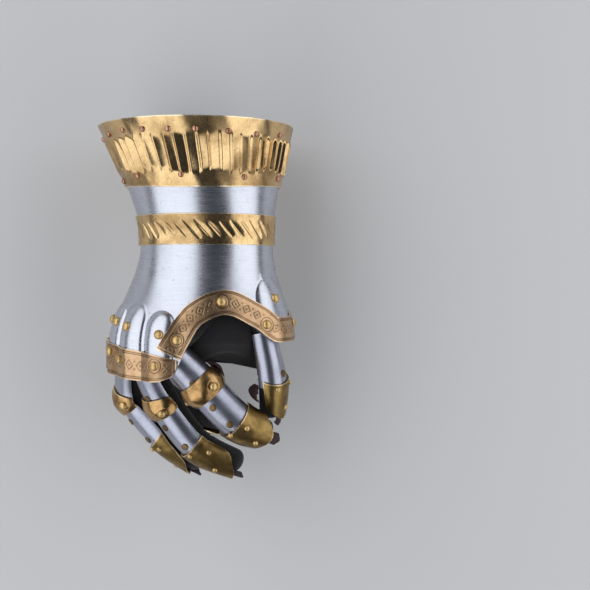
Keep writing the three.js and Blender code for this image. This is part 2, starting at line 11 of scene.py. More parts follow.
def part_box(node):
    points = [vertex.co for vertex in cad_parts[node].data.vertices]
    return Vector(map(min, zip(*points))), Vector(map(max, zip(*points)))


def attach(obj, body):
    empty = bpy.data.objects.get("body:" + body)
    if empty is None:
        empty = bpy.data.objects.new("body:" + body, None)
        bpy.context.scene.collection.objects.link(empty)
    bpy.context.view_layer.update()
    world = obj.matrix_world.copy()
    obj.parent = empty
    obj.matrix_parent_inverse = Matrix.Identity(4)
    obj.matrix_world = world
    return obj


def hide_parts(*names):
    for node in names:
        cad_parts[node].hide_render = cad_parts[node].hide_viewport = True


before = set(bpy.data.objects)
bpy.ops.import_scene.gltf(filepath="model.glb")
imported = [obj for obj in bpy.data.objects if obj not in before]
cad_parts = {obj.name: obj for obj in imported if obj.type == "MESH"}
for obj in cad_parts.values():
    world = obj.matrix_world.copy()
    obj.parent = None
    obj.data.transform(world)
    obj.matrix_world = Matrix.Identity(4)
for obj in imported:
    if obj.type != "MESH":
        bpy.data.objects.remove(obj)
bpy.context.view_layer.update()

# Steel hourglass, in millimetres
CUFF_LENGTH = 80.0
HAND_LENGTH = 118.0
RIM = (74.5, 72.0, -3.2)
WRIST = (51.5, 40.0, 5.3)
HAND = (71.0, 58.0, 2.0)
FLARE_POWER = 1.3
PLATE_WALL = 1.2

# Brass bands
BAND_WALL = 1.2
SKIN_GAP = 0.4
CUFF_BAND_HEIGHT = 47.0
CUFF_BAND_DIP = 3.0
CUFF_FLUTES = 52
WRIST_BAND_ABOVE = 11.0
WRIST_BAND_BELOW = 12.0
ARCH_BAND_WIDTH = 18.5
KNUCKLE_BAND_WIDTH = 20.0

# Fingers
FINGER_RADIUS = 11.2
LEATHER_WALL = 1.2
FINGER_WALL = 1.0
LAYER_GAP = 0.45
BRASS_GAP = 0.8
CLOTH_EASE = 0.6
COP_LENGTH = 18.5
COP_BULGE = 2.6
PLATE_SPAN = 96.0
FIRST_PLATE = (0.04, 0.9)
SECOND_PLATE = (1.08, 1.98)
THUMB_PLATE = (0.02, 1.05)
THUMB_TIP_FROM = 0.9
THUMB_TIP_SPAN = 74.0
TIP_BASE_CURVE = 2.5
TIP_ROUND = 5.0
TIP_FROM = 1.85
LEATHER_SPAN = 24.0
GLOVE_WALL = 1.6
LEATHER_IN = FINGER_RADIUS + CLOTH_EASE
STEEL_IN = LEATHER_IN + LEATHER_WALL + LAYER_GAP
BRASS_IN = STEEL_IN + FINGER_WALL + BRASS_GAP
BRASS_OUT = BRASS_IN + FINGER_WALL

# Rivets
RIVET_RADIUS = 3.6
COP_RIVET_RADIUS = 3.2
TIP_RIVET_RADIUS = 2.1
DISC_RADIUS = 2.8
COPPER_RADIUS = 2.25

# Rest pose and the photo's camera
REST_ROLL = -3.6
PHOTO_SIZE = 590
MM_PER_PIXEL = 0.78
CAMERA_HEIGHT = 950.0
WRIST_PIXEL = (200.0, 231.0)
MIDDLE_PIXEL = (295.0, 295.0)
SENSOR = 36.0

# Lower edge of the steel plate: angle about the axis and reach as a share of HAND_LENGTH
LOWER_EDGE = [
    (0, 0.69), (20, 0.715), (38, 0.722), (55, 0.62), (73, 0.547), (87, 0.602), (95, 0.737),
    (100, 0.839), (105, 0.936), (115, 0.966), (140, 0.947), (170, 0.907), (190, 0.873),
    (202, 0.8), (212, 0.5), (224, 0.21), (240, 0.186), (328, 0.186), (338, 0.38), (349, 0.67),
]

# Knuckle flutes: angle and half width in degrees, top as a share of HAND_LENGTH, height as a share of
# FLUTE_HEIGHT, and the rivet as an angle and a share of HAND_LENGTH
FLUTE_HEIGHT = 3.8
FLUTES = [
    ("thumb", 31.0, 17.5, 0.305, 1.1, 33.0, 0.444),
    ("index", 114.0, 9.2, 0.525, 1.0, 112.3, 0.67),
    ("middle", 136.5, 10.5, 0.475, 1.0, 138.0, 0.621),
    ("ring", 157.5, 9.5, 0.47, 0.75, 154.0, 0.592),
    ("little", 176.5, 9.0, 0.48, 0.5, 177.0, 0.58),
]

# Rivets of the brass borders: angle, and place across the border as a share of its width
ARCH_RIVETS = [(95.2, 0.47), (74.4, 0.53), (49.5, 0.4), (9.5, 0.66)]
KNUCKLE_RIVETS = [(114.0, 0.6), (141.5, 0.6), (155.0, 0.74), (184.0, 0.6)]

# Copper rivets of the cuff band: angle and distance along, as the photo shows them on the front and
# evenly spaced round the back
CUFF_RIVETS = [
    (172, 70), (152, 71), (134.5, 72), (119, 71.4), (103, 70.7), (87, 70.6), (67.5, 69.5), (49, 69),
    (27, 70.5),
    (165, 37.5), (137.5, 39.4), (101, 39.1), (56, 37.8), (18, 39),
    *[(190 + 17 * k, 70.5) for k in range(10)], *[(200 + 36 * k, 38.5) for k in range(5)],
]

# Fingers: root as shares of the hand's half width, length and half depth, side, elevation of the
# back, thickness, and for each bone its length share, heading and drop
FINGERS = [
    ("index", (-0.3, 0.765, 0.69), -1, 80, 1.0,
     [(0.33, 42.5, 14), (0.337, 44, 11), (0.215, 66, 17)]),
    ("middle", (-0.58, 0.82, 0.42), -1, 25, 1.0,
     [(0.343, 24, 23), (0.372, 36, 12), (0.298, 62, 12)]),
    ("ring", (-0.755, 0.847, 0.07), -1, 0, 0.98,
     [(0.3, 2, 34), (0.349, 38, 5), (0.295, 50, 12)]),
    ("little", (-0.66, 0.84, -0.49), -1, -15, 0.92,
     [(0.34, 17, 43), (0.268, 56, 5), (0.3, 72, 9.5)]),
    ("thumb", (0.68, 0.645, 0.36), 1, 39, 0.88,
     [(0.348, 10, 10), (0.245, -1, 26)]),
]

# Places on each finger, as a joint count and an angle from its back: the rivets of its tip plate and
# the discs of its steel plates. The dome of its cop has an angle and a share of the cop's length.
FINGER_RIVETS = {
    "index": ([(2.13, -7), (1.95, 35), (2.56, 31)], [(0.77, 4), (1.38, 9), (1.81, 10)], (-31, 0.66)),
    "middle": ([(2.2, -64), (1.97, -25), (2.52, -11)], [(0.74, -26), (1.38, -18), (1.81, -34)], (-52, 0.67)),
    "ring": ([(1.98, -20), (2.03, -57), (2.6, -9)], [(0.76, -20), (1.38, -20), (1.8, -30)], (-66, 0.42)),
    "little": ([(2.12, -36), (1.98, -70), (2.52, -28)], [(0.77, 4), (1.38, 9), (1.81, 10)], (-60, 0.5)),
    "thumb": ([(1.06, 29), (1.09, -44), (1.63, -5)], [(0.83, -8)], None),
}
ROOT_NARROWING = 0.82
TIP_NARROWING = 0.86

# Glove sections: reach, x, z, breadth, depth as shares of the plate's inside, turn in degrees, and how
# far the middle stays behind the sides, as a share of HAND_LENGTH
GLOVE_WRIST = [
    (-0.1, 0, 0, 0.96, 0.96, 0, 0), (0.05, 0, 0, 0.985, 0.98, 0, 0), (0.13, 0, 0, 0.97, 0.95, 0, 0),
]
GLOVE_PALM = [
    (0.13, 0, 0, 0.97, 0.95, 0, 0), (0.34, -0.1, 0.04, 0.79, 0.79, 12, 0),
    (0.55, -0.25, 0.09, 0.68, 0.63, 34, 0), (0.72, -0.45, 0.12, 0.61, 0.46, 58, 0),
    (0.82, -0.56, 0.14, 0.53, 0.3, 66, 0), (0.86, -0.58, 0.14, 0.42, 0.14, 66, 0),
]
GLOVE_WEB = [
    (0.36, 0.05, 0.25, 0.53, 0.55, 0, 0), (0.6, 0.19, 0.35, 0.47, 0.34, -8, 0),
    (0.76, 0.23, 0.34, 0.42, 0.26, -12, 0.03), (0.87, 0.26, 0.31, 0.4, 0.17, -14, 0.09),
    (0.92, 0.27, 0.3, 0.37, 0.07, -14, 0.12),
]


# Sums on arrays
def smooth(start, end, value):
    share = np.clip((np.asarray(value, float) - start) / (end - start), 0, 1)
    return share * share * (3 - 2 * share)


def mix(a, b, share):
    return a + (b - a) * share


def unit(v):
    return v / np.maximum(np.linalg.norm(v, axis=-1, keepdims=True), 1e-12)


def edge_table():
    """The lower edge at every quarter degree, smooth and without overshoot between its rows."""
    angles = np.array([row[0] for row in LOWER_EDGE], float)
    reach = np.array([row[1] for row in LOWER_EDGE])
    angles = np.concatenate([angles - 360, angles, angles + 360])
    reach = np.tile(reach, 3)
    slope = np.diff(reach) / np.diff(angles)
    before, after = slope[:-1], slope[1:]
    product = before * after
    total = np.where(np.abs(before + after) < 1e-12, 1, before + after)
    tangent = np.zeros_like(reach)
    tangent[1:-1] = np.where(product > 0, 2 * product / total, 0)
    at = np.arange(0, 360.01, 0.25)
    low = np.searchsorted(angles, at, side="right") - 1
    span = angles[low + 1] - angles[low]
    s = (at - angles[low]) / span
    rise = reach[low + 1] - reach[low]
    first, last = tangent[low] * span, tangent[low + 1] * span
    curve = reach[low] + s * first + s * s * (3 * rise - 2 * first - last)
    return at, curve + s ** 3 * (first + last - 2 * rise)


EDGE_ANGLES, EDGE_REACH = edge_table()


def edge_y(angle):
    return -HAND_LENGTH * np.interp(np.mod(angle, 360), EDGE_ANGLES, EDGE_REACH)


def section(y):
    """Half width, half depth and shift of the hourglass at a distance along it."""
    y = np.asarray(y, float)
    up = np.clip(y / CUFF_LENGTH, 0, None) ** FLARE_POWER
    down = smooth(0.1, 0.75, -y / HAND_LENGTH)
    return [np.where(y >= 0, mix(WRIST[i], RIM[i], up), mix(WRIST[i], HAND[i], down)) for i in range(3)]


def highest_ridge(angle, y, profile):
    """The highest of the ridges over the knuckles, from how a ridge falls off in half widths."""
    width = section(y)[0]
    lift = np.zeros(np.broadcast(angle, y).shape)
    for _, place, half, top, height, _, _ in FLUTES:
        across = (np.mod(angle - place + 180, 360) - 180) / half
        radius = half * np.radians(1) * width
        above = np.clip(y + top * HAND_LENGTH + radius, 0, None) / radius
        lift = np.maximum(lift, FLUTE_HEIGHT * height * profile(np.hypot(across, above)))
    return lift


def round_ridge(far):
    inside = 1 - far * far
    return ((inside + np.hypot(inside, 0.03)) / 2) ** 0.6


def gentle_wave(far):
    return 1.08 * np.cos(0.5 * np.pi * np.clip(far / 1.65, 0, 1)) ** 2


def on_section(angle, y, out):
    angle, y, out = np.broadcast_arrays(np.asarray(angle, float), np.asarray(y, float), out)
    width, depth, shift = section(y)
    turn = np.radians(angle)
    return np.stack([shift + (width + out) * np.cos(turn), y, (depth + out) * np.sin(turn)], -1)


def on_plate(angle, y, lift):
    """Points on the steel, raised by lift above its outer face."""
    return on_section(angle, y, lift + highest_ridge(angle, y, round_ridge))


def on_border(angle, y, lift):
    """Points on the skin of the brass borders, which cross the flutes in gentle waves."""
    return on_section(angle, y, lift + highest_ridge(angle, y, gentle_wave))


def face_normal(face, angle, y):
    step = 0.4
    around = face(angle + step, y, 0.0) - face(angle - step, y, 0.0)
    along = face(angle, y + step, 0.0) - face(angle, y - step, 0.0)
    return unit(np.cross(along, around))


# From millimetres along the hand to metres in the frame
def frame_offset():
    low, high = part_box("cuff_band")
    centre = (Vector(low) + Vector(high)) / 2
    turn = Matrix.Rotation(math.radians(REST_ROLL), 3, "Y")
    rim_centre = turn @ Vector((RIM[2] / 1000, 0, 0))
    return np.array([centre.x - rim_centre.x, high[1] - CUFF_LENGTH / 1000, centre.z - rim_centre.z])


REST_TURN = np.array(Matrix.Rotation(math.radians(REST_ROLL), 3, "Y"))
OFFSET = frame_offset()


def into_frame(points):
    return np.asarray(points, float) @ REST_TURN.T / 1000 + OFFSET


def turn_into_frame(vectors):
    return np.asarray(vectors, float) @ REST_TURN.T


# Meshes from grids
SHEET_SHARP, CLOTH_SHARP, PALM_SHARP = 75, 80, 50
BEVEL_STEPS, BEVEL_FROM = 2, 50


def new_object(name, data):
    thing = bpy.data.objects.new(name, data)
    bpy.context.scene.collection.objects.link(thing)
    return thing


def smooth_faces(mesh):
    for polygon in mesh.polygons:
        polygon.use_smooth = True


def plain_mesh(thing):
    """The finished mesh of an object with its modifiers in it."""
    graph = bpy.context.evaluated_depsgraph_get()
    mesh = bpy.data.meshes.new_from_object(thing.evaluated_get(graph))
    thing.modifiers.clear()
    thing.data = mesh
    return mesh


def mesh_object(name, points, faces, material, sharp, uv=None, marks=None):
    """A closed mesh with its faces pointing out. marks are named values at its points."""
    points = into_frame(points)
    tris = np.array([(f[0], f[i], f[i + 1]) for f in faces for i in range(1, len(f) - 1)])
    a, b, c = points[tris[:, 0]], points[tris[:, 1]], points[tris[:, 2]]
    if np.einsum("ij,ij->i", a, np.cross(b, c)).sum() < 0:
        faces = [f[::-1] for f in faces]
    mesh = bpy.data.meshes.new(name)
    mesh.from_pydata(points.tolist(), [], faces)
    mesh.update()
    smooth_faces(mesh)
    mesh.set_sharp_from_angle(angle=math.radians(sharp))
    if uv is not None:
        layer = mesh.uv_layers.new(name="UVMap")
        corners = np.empty(len(mesh.loops), np.int64)
        mesh.loops.foreach_get("vertex_index", corners)
        layer.data.foreach_set("uv", np.asarray(uv, np.float32)[corners].ravel())
    for key, values in (marks or {}).items():
        mark = mesh.attributes.new(key, "FLOAT", "POINT")
        mark.data.foreach_set("value", np.asarray(values, np.float32).ravel())
    mesh.materials.append(material)
    return new_object(name, mesh)


def grid_faces(columns, rows, ring, start=0, flip=False):
    across = columns if ring else columns + 1
    i, j = np.meshgrid(np.arange(columns), np.arange(rows), indexing="ij")
    k = (i + 1) % across
    quads = np.stack([j * across + i, j * across + k, (j + 1) * across + k, (j + 1) * across + i], -1)
    quads = quads.reshape(-1, 4) + start
    return (quads[:, ::-1] if flip else quads).tolist()


def wall(name, outer, inner, ring, material, bevel=0.3, sharp=SHEET_SHARP, marks=None):
    """A sheet between an outer and an inner grid of points [row, column], closed along its edges."""
    rows, across = outer.shape[0] - 1, outer.shape[1]
    columns = across if ring else across - 1
    layer = (rows + 1) * across
    points = np.concatenate([outer.reshape(-1, 3), inner.reshape(-1, 3)])
    faces = grid_faces(columns, rows, ring) + grid_faces(columns, rows, ring, layer, True)
    for row in (0, rows):
        for i in range(columns):
            k = (i + 1) % across
            strip = [row * across + k, row * across + i, layer + row * across + i, layer + row * across + k]
            faces.append(strip if row == 0 else strip[::-1])
    if not ring:
        for column in (0, columns):
            for j in range(rows):
                a, b = j * across + column, (j + 1) * across + column
                strip = [a, b, layer + b, layer + a]
                faces.append(strip if column == 0 else strip[::-1])
    v, u = np.meshgrid(np.linspace(0, 1, rows + 1), np.linspace(0, 1, across), indexing="ij")
    side = np.minimum(v, 1 - v)
    if not ring:
        side = np.minimum(side, np.minimum(u, 1 - u))
    uv = np.stack([u, v], -1).reshape(-1, 2)
    values = {"rim": np.tile(side.ravel(), 2)}
    for key, value in (marks or {}).items():
        values[key] = np.tile(np.asarray(value).ravel(), 2)
    piece = mesh_object(name, points, faces, material, sharp, np.tile(uv, (2, 1)), values)
    if bevel:
        edge = piece.modifiers.new("edge_round", "BEVEL")
        edge.width = bevel / 1000
        edge.segments = BEVEL_STEPS
        edge.limit_method = "ANGLE"
        edge.angle_limit = math.radians(BEVEL_FROM)
    return piece


def settle(piece, slot, *nodes):
    """Rides the body and stands for its CAD nodes; its slot is not used."""
    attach(piece, "root")
    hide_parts(*nodes)
    return piece


# Node trees
FLOAT, VECTOR, GEOMETRY = "NodeSocketFloat", "NodeSocketVector", "NodeSocketGeometry"
LINE_SCALE, DENT_SCALE = 70.0, 55.0
PATCH_SOFTNESS = 0.14
SPECK_SCALE, SPECK_SHARE = 14.0, 0.45
WORN_WIDTH = 0.045
SPECK_SHADE, CUT_SHADE = 0.35, 0.3
ROUGHNESS_SPREAD = 0.14
METAL_RELIEF, SOFT_RELIEF = 0.001, 0.0006


def node_group(name, inputs, outputs, kind="ShaderNodeTree"):
    tree = bpy.data.node_groups.new(name, kind)
    for label, socket_type, value in inputs:
        socket = tree.interface.new_socket(label, in_out="INPUT", socket_type=socket_type)
        if value is not None:
            socket.default_value = value
    for label, socket_type in outputs:
        tree.interface.new_socket(label, in_out="OUTPUT", socket_type=socket_type)
    return tree, tree.nodes.new("NodeGroupInput").outputs, tree.nodes.new("NodeGroupOutput").inputs


def put(tree, socket, source):
    """Links a socket to another node's output, or gives it a plain value."""
    if isinstance(source, bpy.types.NodeSocket):
        tree.links.new(source, socket)
    else:
        socket.default_value = source


def add(tree, kind, inputs=(), **values):
    """A node with values by attribute or socket name, and inputs as (socket, source or value)."""
    node = tree.nodes.new(kind)
    for key, value in values.items():
        label = key.replace("_", " ")
        if hasattr(node, key):
            setattr(node, key, value)
        else:
            node.inputs[label].default_value = value
    for socket, source in inputs:
        put(tree, node.inputs[socket], source)
    return node


def sums(tree, operation, *terms):
    return add(tree, "ShaderNodeMath", enumerate(terms), operation=operation).outputs[0]


def noise(tree, place, scale, detail, roughness, distortion=0.0):
    return add(tree, "ShaderNodeTexNoise", [("Vector", place), ("Scale", scale)], Detail=detail,
               Roughness=roughness, Distortion=distortion).outputs["Fac"]


def map_range(tree, value, start=0.0, end=1.0, low=0.0, high=1.0, kind="LINEAR"):
    return add(tree, "ShaderNodeMapRange", [("Value", value), ("From Min", start), ("From Max", end),
               ("To Min", low), ("To Max", high)], interpolation_type=kind).outputs["Result"]


def ramp(tree, source, stops):
    """A grey ramp from (place, value) stops."""
    node = tree.nodes.new("ShaderNodeValToRGB")
    for element, (place, value) in zip(node.color_ramp.elements, stops):
        element.position = place
        element.color = (value, value, value, 1)
    tree.links.new(source, node.inputs["Fac"])
    return node.outputs["Color"]


def blend_colour(tree, share, first, second):
    node = tree.nodes.new("ShaderNodeMix")
    node.data_type = "RGBA"
    for socket, source in (("Factor", share), ("A", first), ("B", second)):
        put(tree, node.inputs[socket], source)
    return node.outputs["Result"]


def shade(colour, share):
    return tuple(c * share for c in colour[:3]) + (1,)


def tarnish_group():
    """Cloudy patches broken up by fine specks, as handled metal gets."""
    tree, given, result = node_group("tarnish", [
        ("Vector", VECTOR, (0, 0, 0)), ("Scale", FLOAT, 30.0), ("Threshold", FLOAT, 0.5),
        ("Softness", FLOAT, 0.15),
    ], [("Mask", FLOAT), ("Specks", FLOAT)])
    patches = noise(tree, given["Vector"], given["Scale"], 6.0, 0.62, 0.4)
    low, high = [sums(tree, kind, given["Threshold"], given["Softness"]) for kind in ("SUBTRACT", "ADD")]
    put(tree, result["Mask"], map_range(tree, patches, low, high, kind="SMOOTHSTEP"))
    dots = noise(tree, given["Vector"], sums(tree, "MULTIPLY", given["Scale"], SPECK_SCALE), 3.0, 0.7)
    put(tree, result["Specks"], map_range(tree, dots, 0.6, 0.74, kind="SMOOTHSTEP"))
    return tree


def polish_group():
    """Fine polishing lines along one direction, and broad hammer marks below them."""
    tree, given, result = node_group("polish", [
        ("Vector", VECTOR, (0, 0, 0)), ("Stretch", VECTOR, (1, 40, 1)), ("Line Scale", FLOAT, 60.0),
        ("Dent Scale", FLOAT, 60.0), ("Dents", FLOAT, 0.5), ("Lines", FLOAT, 0.1),
    ], [("Height", FLOAT), ("Streaks", FLOAT)])
    along = add(tree, "ShaderNodeVectorMath", [(0, given["Vector"]), (1, given["Stretch"])],
                operation="MULTIPLY")
    lines = noise(tree, along.outputs[0], given["Line Scale"], 4.0, 0.75)
    dents = noise(tree, given["Vector"], given["Dent Scale"], 1.5, 0.4)
    broad = sums(tree, "MULTIPLY", dents, given["Dents"])
    put(tree, result["Height"], sums(tree, "MULTIPLY_ADD", lines, given["Lines"], broad))
    put(tree, result["Streaks"], lines)
    return tree


def rim_wear_group():
    """How worn an edge is, from the rim mark of a sheet, broken up by noise."""
    tree, given, result = node_group("rim_wear", [
        ("Vector", VECTOR, (0, 0, 0)), ("Width", FLOAT, 0.03),
    ], [("Mask", FLOAT)])
    mark = add(tree, "ShaderNodeAttribute", attribute_name="rim").outputs["Fac"]
    wide = sums(tree, "MULTIPLY", noise(tree, given["Vector"], 220.0, 3.0, 0.6), given["Width"])
    put(tree, result["Mask"], map_range(tree, mark, end=wide, low=1.0, high=0.0, kind="SMOOTHSTEP"))
    return tree


TARNISH, POLISH, RIM_WEAR = tarnish_group(), polish_group(), rim_wear_group()


def use_group(tree, group, place, **values):
    node = tree.nodes.new("ShaderNodeGroup")
    node.node_tree = group
    for key, value in values.items():
        node.inputs[key.replace("_", " ")].default_value = value
    put(tree, node.inputs["Vector"], place)
    return node.outputs


def new_material(name):
    material = bpy.data.materials.new(name)
    material.use_nodes = True
    tree = material.node_tree
    return material, tree, tree.nodes["Principled BSDF"].inputs


def metal(name, bright, dark, patch, rough, dents=0.4, lines=0.05, stretch=(1, 30, 1), patch_scale=26.0,
          threshold=0.5, bump=0.15, wear=None, patch_share=0.7, mark=None):
    """Aged sheet metal: bright colour, darker streaks, tarnish patches, and a worn edge where it has one."""
    material, tree, shader = new_material(name)
    place = add(tree, "ShaderNodeTexCoord").outputs["Object"]
    clouds = use_group(tree, TARNISH, place, Scale=patch_scale, Threshold=threshold, Softness=PATCH_SOFTNESS)
    grain = use_group(tree, POLISH, place, Stretch=stretch, Line_Scale=LINE_SCALE, Dent_Scale=DENT_SCALE,
                      Dents=dents, Lines=lines)
    base = blend_colour(tree, ramp(tree, grain["Streaks"], [(0.35, 0.0), (0.75, 1.0)]), dark, bright)
    base = blend_colour(tree, sums(tree, "MULTIPLY", clouds["Mask"], patch_share), base, patch)
    specks = sums(tree, "MULTIPLY", clouds["Specks"], SPECK_SHARE)
    base = blend_colour(tree, specks, base, shade(patch, SPECK_SHADE))
    if wear:
        base = blend_colour(tree, use_group(tree, RIM_WEAR, place, Width=WORN_WIDTH)["Mask"], base, wear)
    if mark:
        cut = add(tree, "ShaderNodeAttribute", attribute_name=mark).outputs["Fac"]
        base = blend_colour(tree, cut, base, shade(patch, CUT_SHADE))
    finish = map_range(tree, clouds["Mask"], low=rough[0], high=rough[1])
    uneven = sums(tree, "MULTIPLY_ADD", grain["Streaks"], ROUGHNESS_SPREAD, finish)
    relief = add(tree, "ShaderNodeBump", [("Height", grain["Height"])], Strength=bump, Distance=METAL_RELIEF)
    put(tree, shader["Base Color"], base)
    put(tree, shader["Roughness"], sums(tree, "SUBTRACT", uneven, ROUGHNESS_SPREAD / 2))
    put(tree, shader["Metallic"], 1.0)
    put(tree, shader["Normal"], relief.outputs["Normal"])
    return material


def soft(name, bright, dark, rough, grain_scale, bump, sheen, fuzz):
    """Leather or napped cloth: two colours and a fuzz through a fine grain, with a soft sheen."""
    material, tree, shader = new_material(name)
    place = add(tree, "ShaderNodeTexCoord").outputs["Object"]
    clouds = noise(tree, place, 60.0, 5.0, 0.6)
    grain = add(tree, "ShaderNodeTexVoronoi", [("Vector", place)], Scale=grain_scale, feature="SMOOTH_F1")
    fine = noise(tree, place, grain_scale * 2.2, 4.0, 0.5)
    base = blend_colour(tree, ramp(tree, clouds, [(0.35, 0.0), (0.7, 1.0)]), dark, bright)
    base = blend_colour(tree, ramp(tree, fine, [(0.45, 0.0), (0.8, 0.6)]), base, fuzz)
    height = sums(tree, "MULTIPLY_ADD", grain.outputs["Distance"], 1.6, fine)
    relief = add(tree, "ShaderNodeBump", [("Height", height)], Strength=bump, Distance=SOFT_RELIEF)
    put(tree, shader["Base Color"], base)
    put(tree, shader["Roughness"], map_range(tree, clouds, low=rough - 0.1, high=min(1.0, rough + 0.1)))
    put(tree, shader["Sheen Weight"], sheen)
    put(tree, shader["Sheen Roughness"], 0.5)
    put(tree, shader["Normal"], relief.outputs["Normal"])
    return material


STEEL = metal("satin_steel", (0.64, 0.66, 0.73, 1), (0.53, 0.55, 0.62, 1), (0.4, 0.42, 0.49, 1),
              (0.26, 0.34), dents=0.14, lines=0.03, stretch=(1, 26, 1), threshold=0.57, bump=0.07,
              patch_share=0.35, patch_scale=20.0)
FINGER_STEEL = metal("finger_steel", (0.46, 0.48, 0.56, 1), (0.37, 0.38, 0.46, 1), (0.24, 0.25, 0.32, 1),
                     (0.3, 0.4), dents=0.25, lines=0.04, stretch=(8, 20, 8), threshold=0.57, bump=0.1,
                     wear=(0.8, 0.82, 0.88, 1), patch_share=0.5, patch_scale=34.0)
PALE_BRASS = metal("pale_brass", (0.86, 0.63, 0.34, 1), (0.64, 0.43, 0.2, 1), (0.24, 0.14, 0.055, 1),
                   (0.19, 0.34), dents=0.7, lines=0.05, stretch=(14, 2, 14), threshold=0.54, bump=0.25,
                   wear=(0.98, 0.84, 0.6, 1), patch_scale=24.0, patch_share=0.8)
BORDER_BRASS = metal("border_brass", (0.68, 0.46, 0.28, 1), (0.5, 0.32, 0.18, 1), (0.26, 0.155, 0.08, 1),
                     (0.3, 0.42), dents=0.5, lines=0.06, stretch=(3, 3, 3), threshold=0.54, bump=0.22,
                     wear=(0.94, 0.72, 0.5, 1), patch_scale=40.0, patch_share=0.65, mark="engraved")
COP_BRASS = metal("cop_brass", (0.62, 0.4, 0.18, 1), (0.42, 0.25, 0.1, 1), (0.13, 0.072, 0.026, 1),
                  (0.24, 0.4), dents=0.8, lines=0.06, stretch=(4, 4, 4), threshold=0.52, bump=0.3,
                  wear=(0.86, 0.64, 0.38, 1), patch_scale=60.0, patch_share=0.75)
AGED_BRASS = metal("aged_brass", (0.36, 0.24, 0.09, 1), (0.23, 0.15, 0.052, 1), (0.09, 0.056, 0.02, 1),
                   (0.3, 0.46), dents=0.6, lines=0.06, stretch=(4, 4, 4), threshold=0.53, bump=0.25,
                   wear=(0.82, 0.62, 0.36, 1), patch_scale=55.0, patch_share=0.7)
RIVET_BRASS = metal("rivet_brass", (0.8, 0.58, 0.27, 1), (0.6, 0.41, 0.17, 1), (0.24, 0.15, 0.055, 1),
                    (0.44, 0.54), dents=0.3, lines=0.03, threshold=0.6, bump=0.1, patch_scale=120.0)
DISC_BRASS = metal("disc_brass", (0.27, 0.18, 0.085, 1), (0.2, 0.13, 0.06, 1), (0.1, 0.065, 0.03, 1),
                   (0.36, 0.5), dents=0.5, lines=0.05, threshold=0.53, bump=0.25, patch_scale=120.0)
COPPER = metal("rivet_copper", (0.7, 0.42, 0.3, 1), (0.48, 0.25, 0.17, 1), (0.2, 0.085, 0.055, 1),
               (0.28, 0.4), dents=0.3, lines=0.03, threshold=0.57, bump=0.12, patch_scale=130.0)
LEATHER = soft("worn_leather", (0.045, 0.017, 0.02, 1), (0.016, 0.006, 0.008, 1), 0.68, 700.0, 0.5, 0.0,
               (0.11, 0.055, 0.06, 1))
GLOVE = soft("glove_suede", (0.014, 0.012, 0.014, 1), (0.006, 0.005, 0.006, 1), 0.93, 1400.0, 0.5, 0.15,
             (0.026, 0.023, 0.027, 1))


# The steel hourglass
def make_hand_plate():
    """Close columns and rows where the knuckle flutes are, wider ones elsewhere."""
    spans = [(6, 56, 0.55), (56, 100, 2.0), (100, 190, 0.5), (190, 366, 4.0)]
    angles = np.concatenate([np.arange(first, last - 0.01, step) for first, last, step in spans])
    cuff = np.repeat(np.linspace(CUFF_LENGTH, -WRIST_BAND_BELOW, 22)[:, None], len(angles), 1)
    share = np.concatenate([np.linspace(0, 0.36, 10)[1:], np.linspace(0.36, 1, 68)[1:]])[:, None]
    y = np.concatenate([cuff, mix(-WRIST_BAND_BELOW, edge_y(angles)[None], share)])
    outer = on_plate(angles[None], y, 0.0)
    inner = on_plate(angles[None], y, -PLATE_WALL)
    piece = wall("hourglass_plate", outer, inner, True, STEEL, bevel=0.25)
    return settle(piece, "steel", "hand_plate")


BORDER_FACE = SKIN_GAP + BAND_WALL
CUFF_FACE = BORDER_FACE - 0.15
WRIST_CUTS, WRIST_CUT_DEPTH, WRIST_CUT_SWELL = 38, 0.95, 0.22


def ring_grid(columns, rows):
    """Angles round a ring and shares across it."""
    return np.linspace(0, 360, columns, endpoint=False)[None], np.linspace(0, 1, rows + 1)[:, None]


def ring_band(name, angles, y, lift, node):
    piece = wall(name, on_plate(angles, y, lift), on_plate(angles, y, SKIN_GAP), True, PALE_BRASS)
    return settle(piece, "pale_brass", node)


# The flared cuff band, with flutes that start below its rivets and die out above its foot
def cuff_y(angle, share):
    front = np.clip(np.sin(np.radians(angle)), 0, None) ** 2
    foot = CUFF_LENGTH - CUFF_BAND_HEIGHT - CUFF_BAND_DIP * front
    return mix(CUFF_LENGTH, foot, share)


def cuff_flute(angle, share):
    """Height of the cuff's flutes: each rises slowly to a crest and drops steeply, and no two match."""
    number = angle / 360 * CUFF_FLUTES + 0.35
    index = np.floor(number)
    phase = number - index
    vary = np.sin(index * 12.9898) * 0.5 + 0.5
    crest = 0.8 + 0.06 * np.sin(index * 4.1)
    rise = np.clip(phase / crest, 0, 1) ** (1.2 + 0.5 * vary)
    fall = 1 - smooth(crest, 1.0, phase)
    top = 0.235 + 0.035 * vary
    foot = 0.775 + 0.035 * np.sin(index * 7.31)
    fade = smooth(top - 0.03, top + 0.05, share) * (1 - smooth(foot - 0.05, foot + 0.02, share))
    return (1.0 + 0.6 * vary) * (rise * fall * 1.7 - 0.62) * fade


def make_cuff_band():
    angles, share = ring_grid(CUFF_FLUTES * 14, 40)
    y = cuff_y(angles, share)
    beaten = 0.2 * np.sin(angles * 0.31 + 9 * share) * np.sin(angles * 0.17 + 2)
    return ring_band("cuff_border", angles, y, CUFF_FACE + cuff_flute(angles, share) + beaten, "cuff_band")


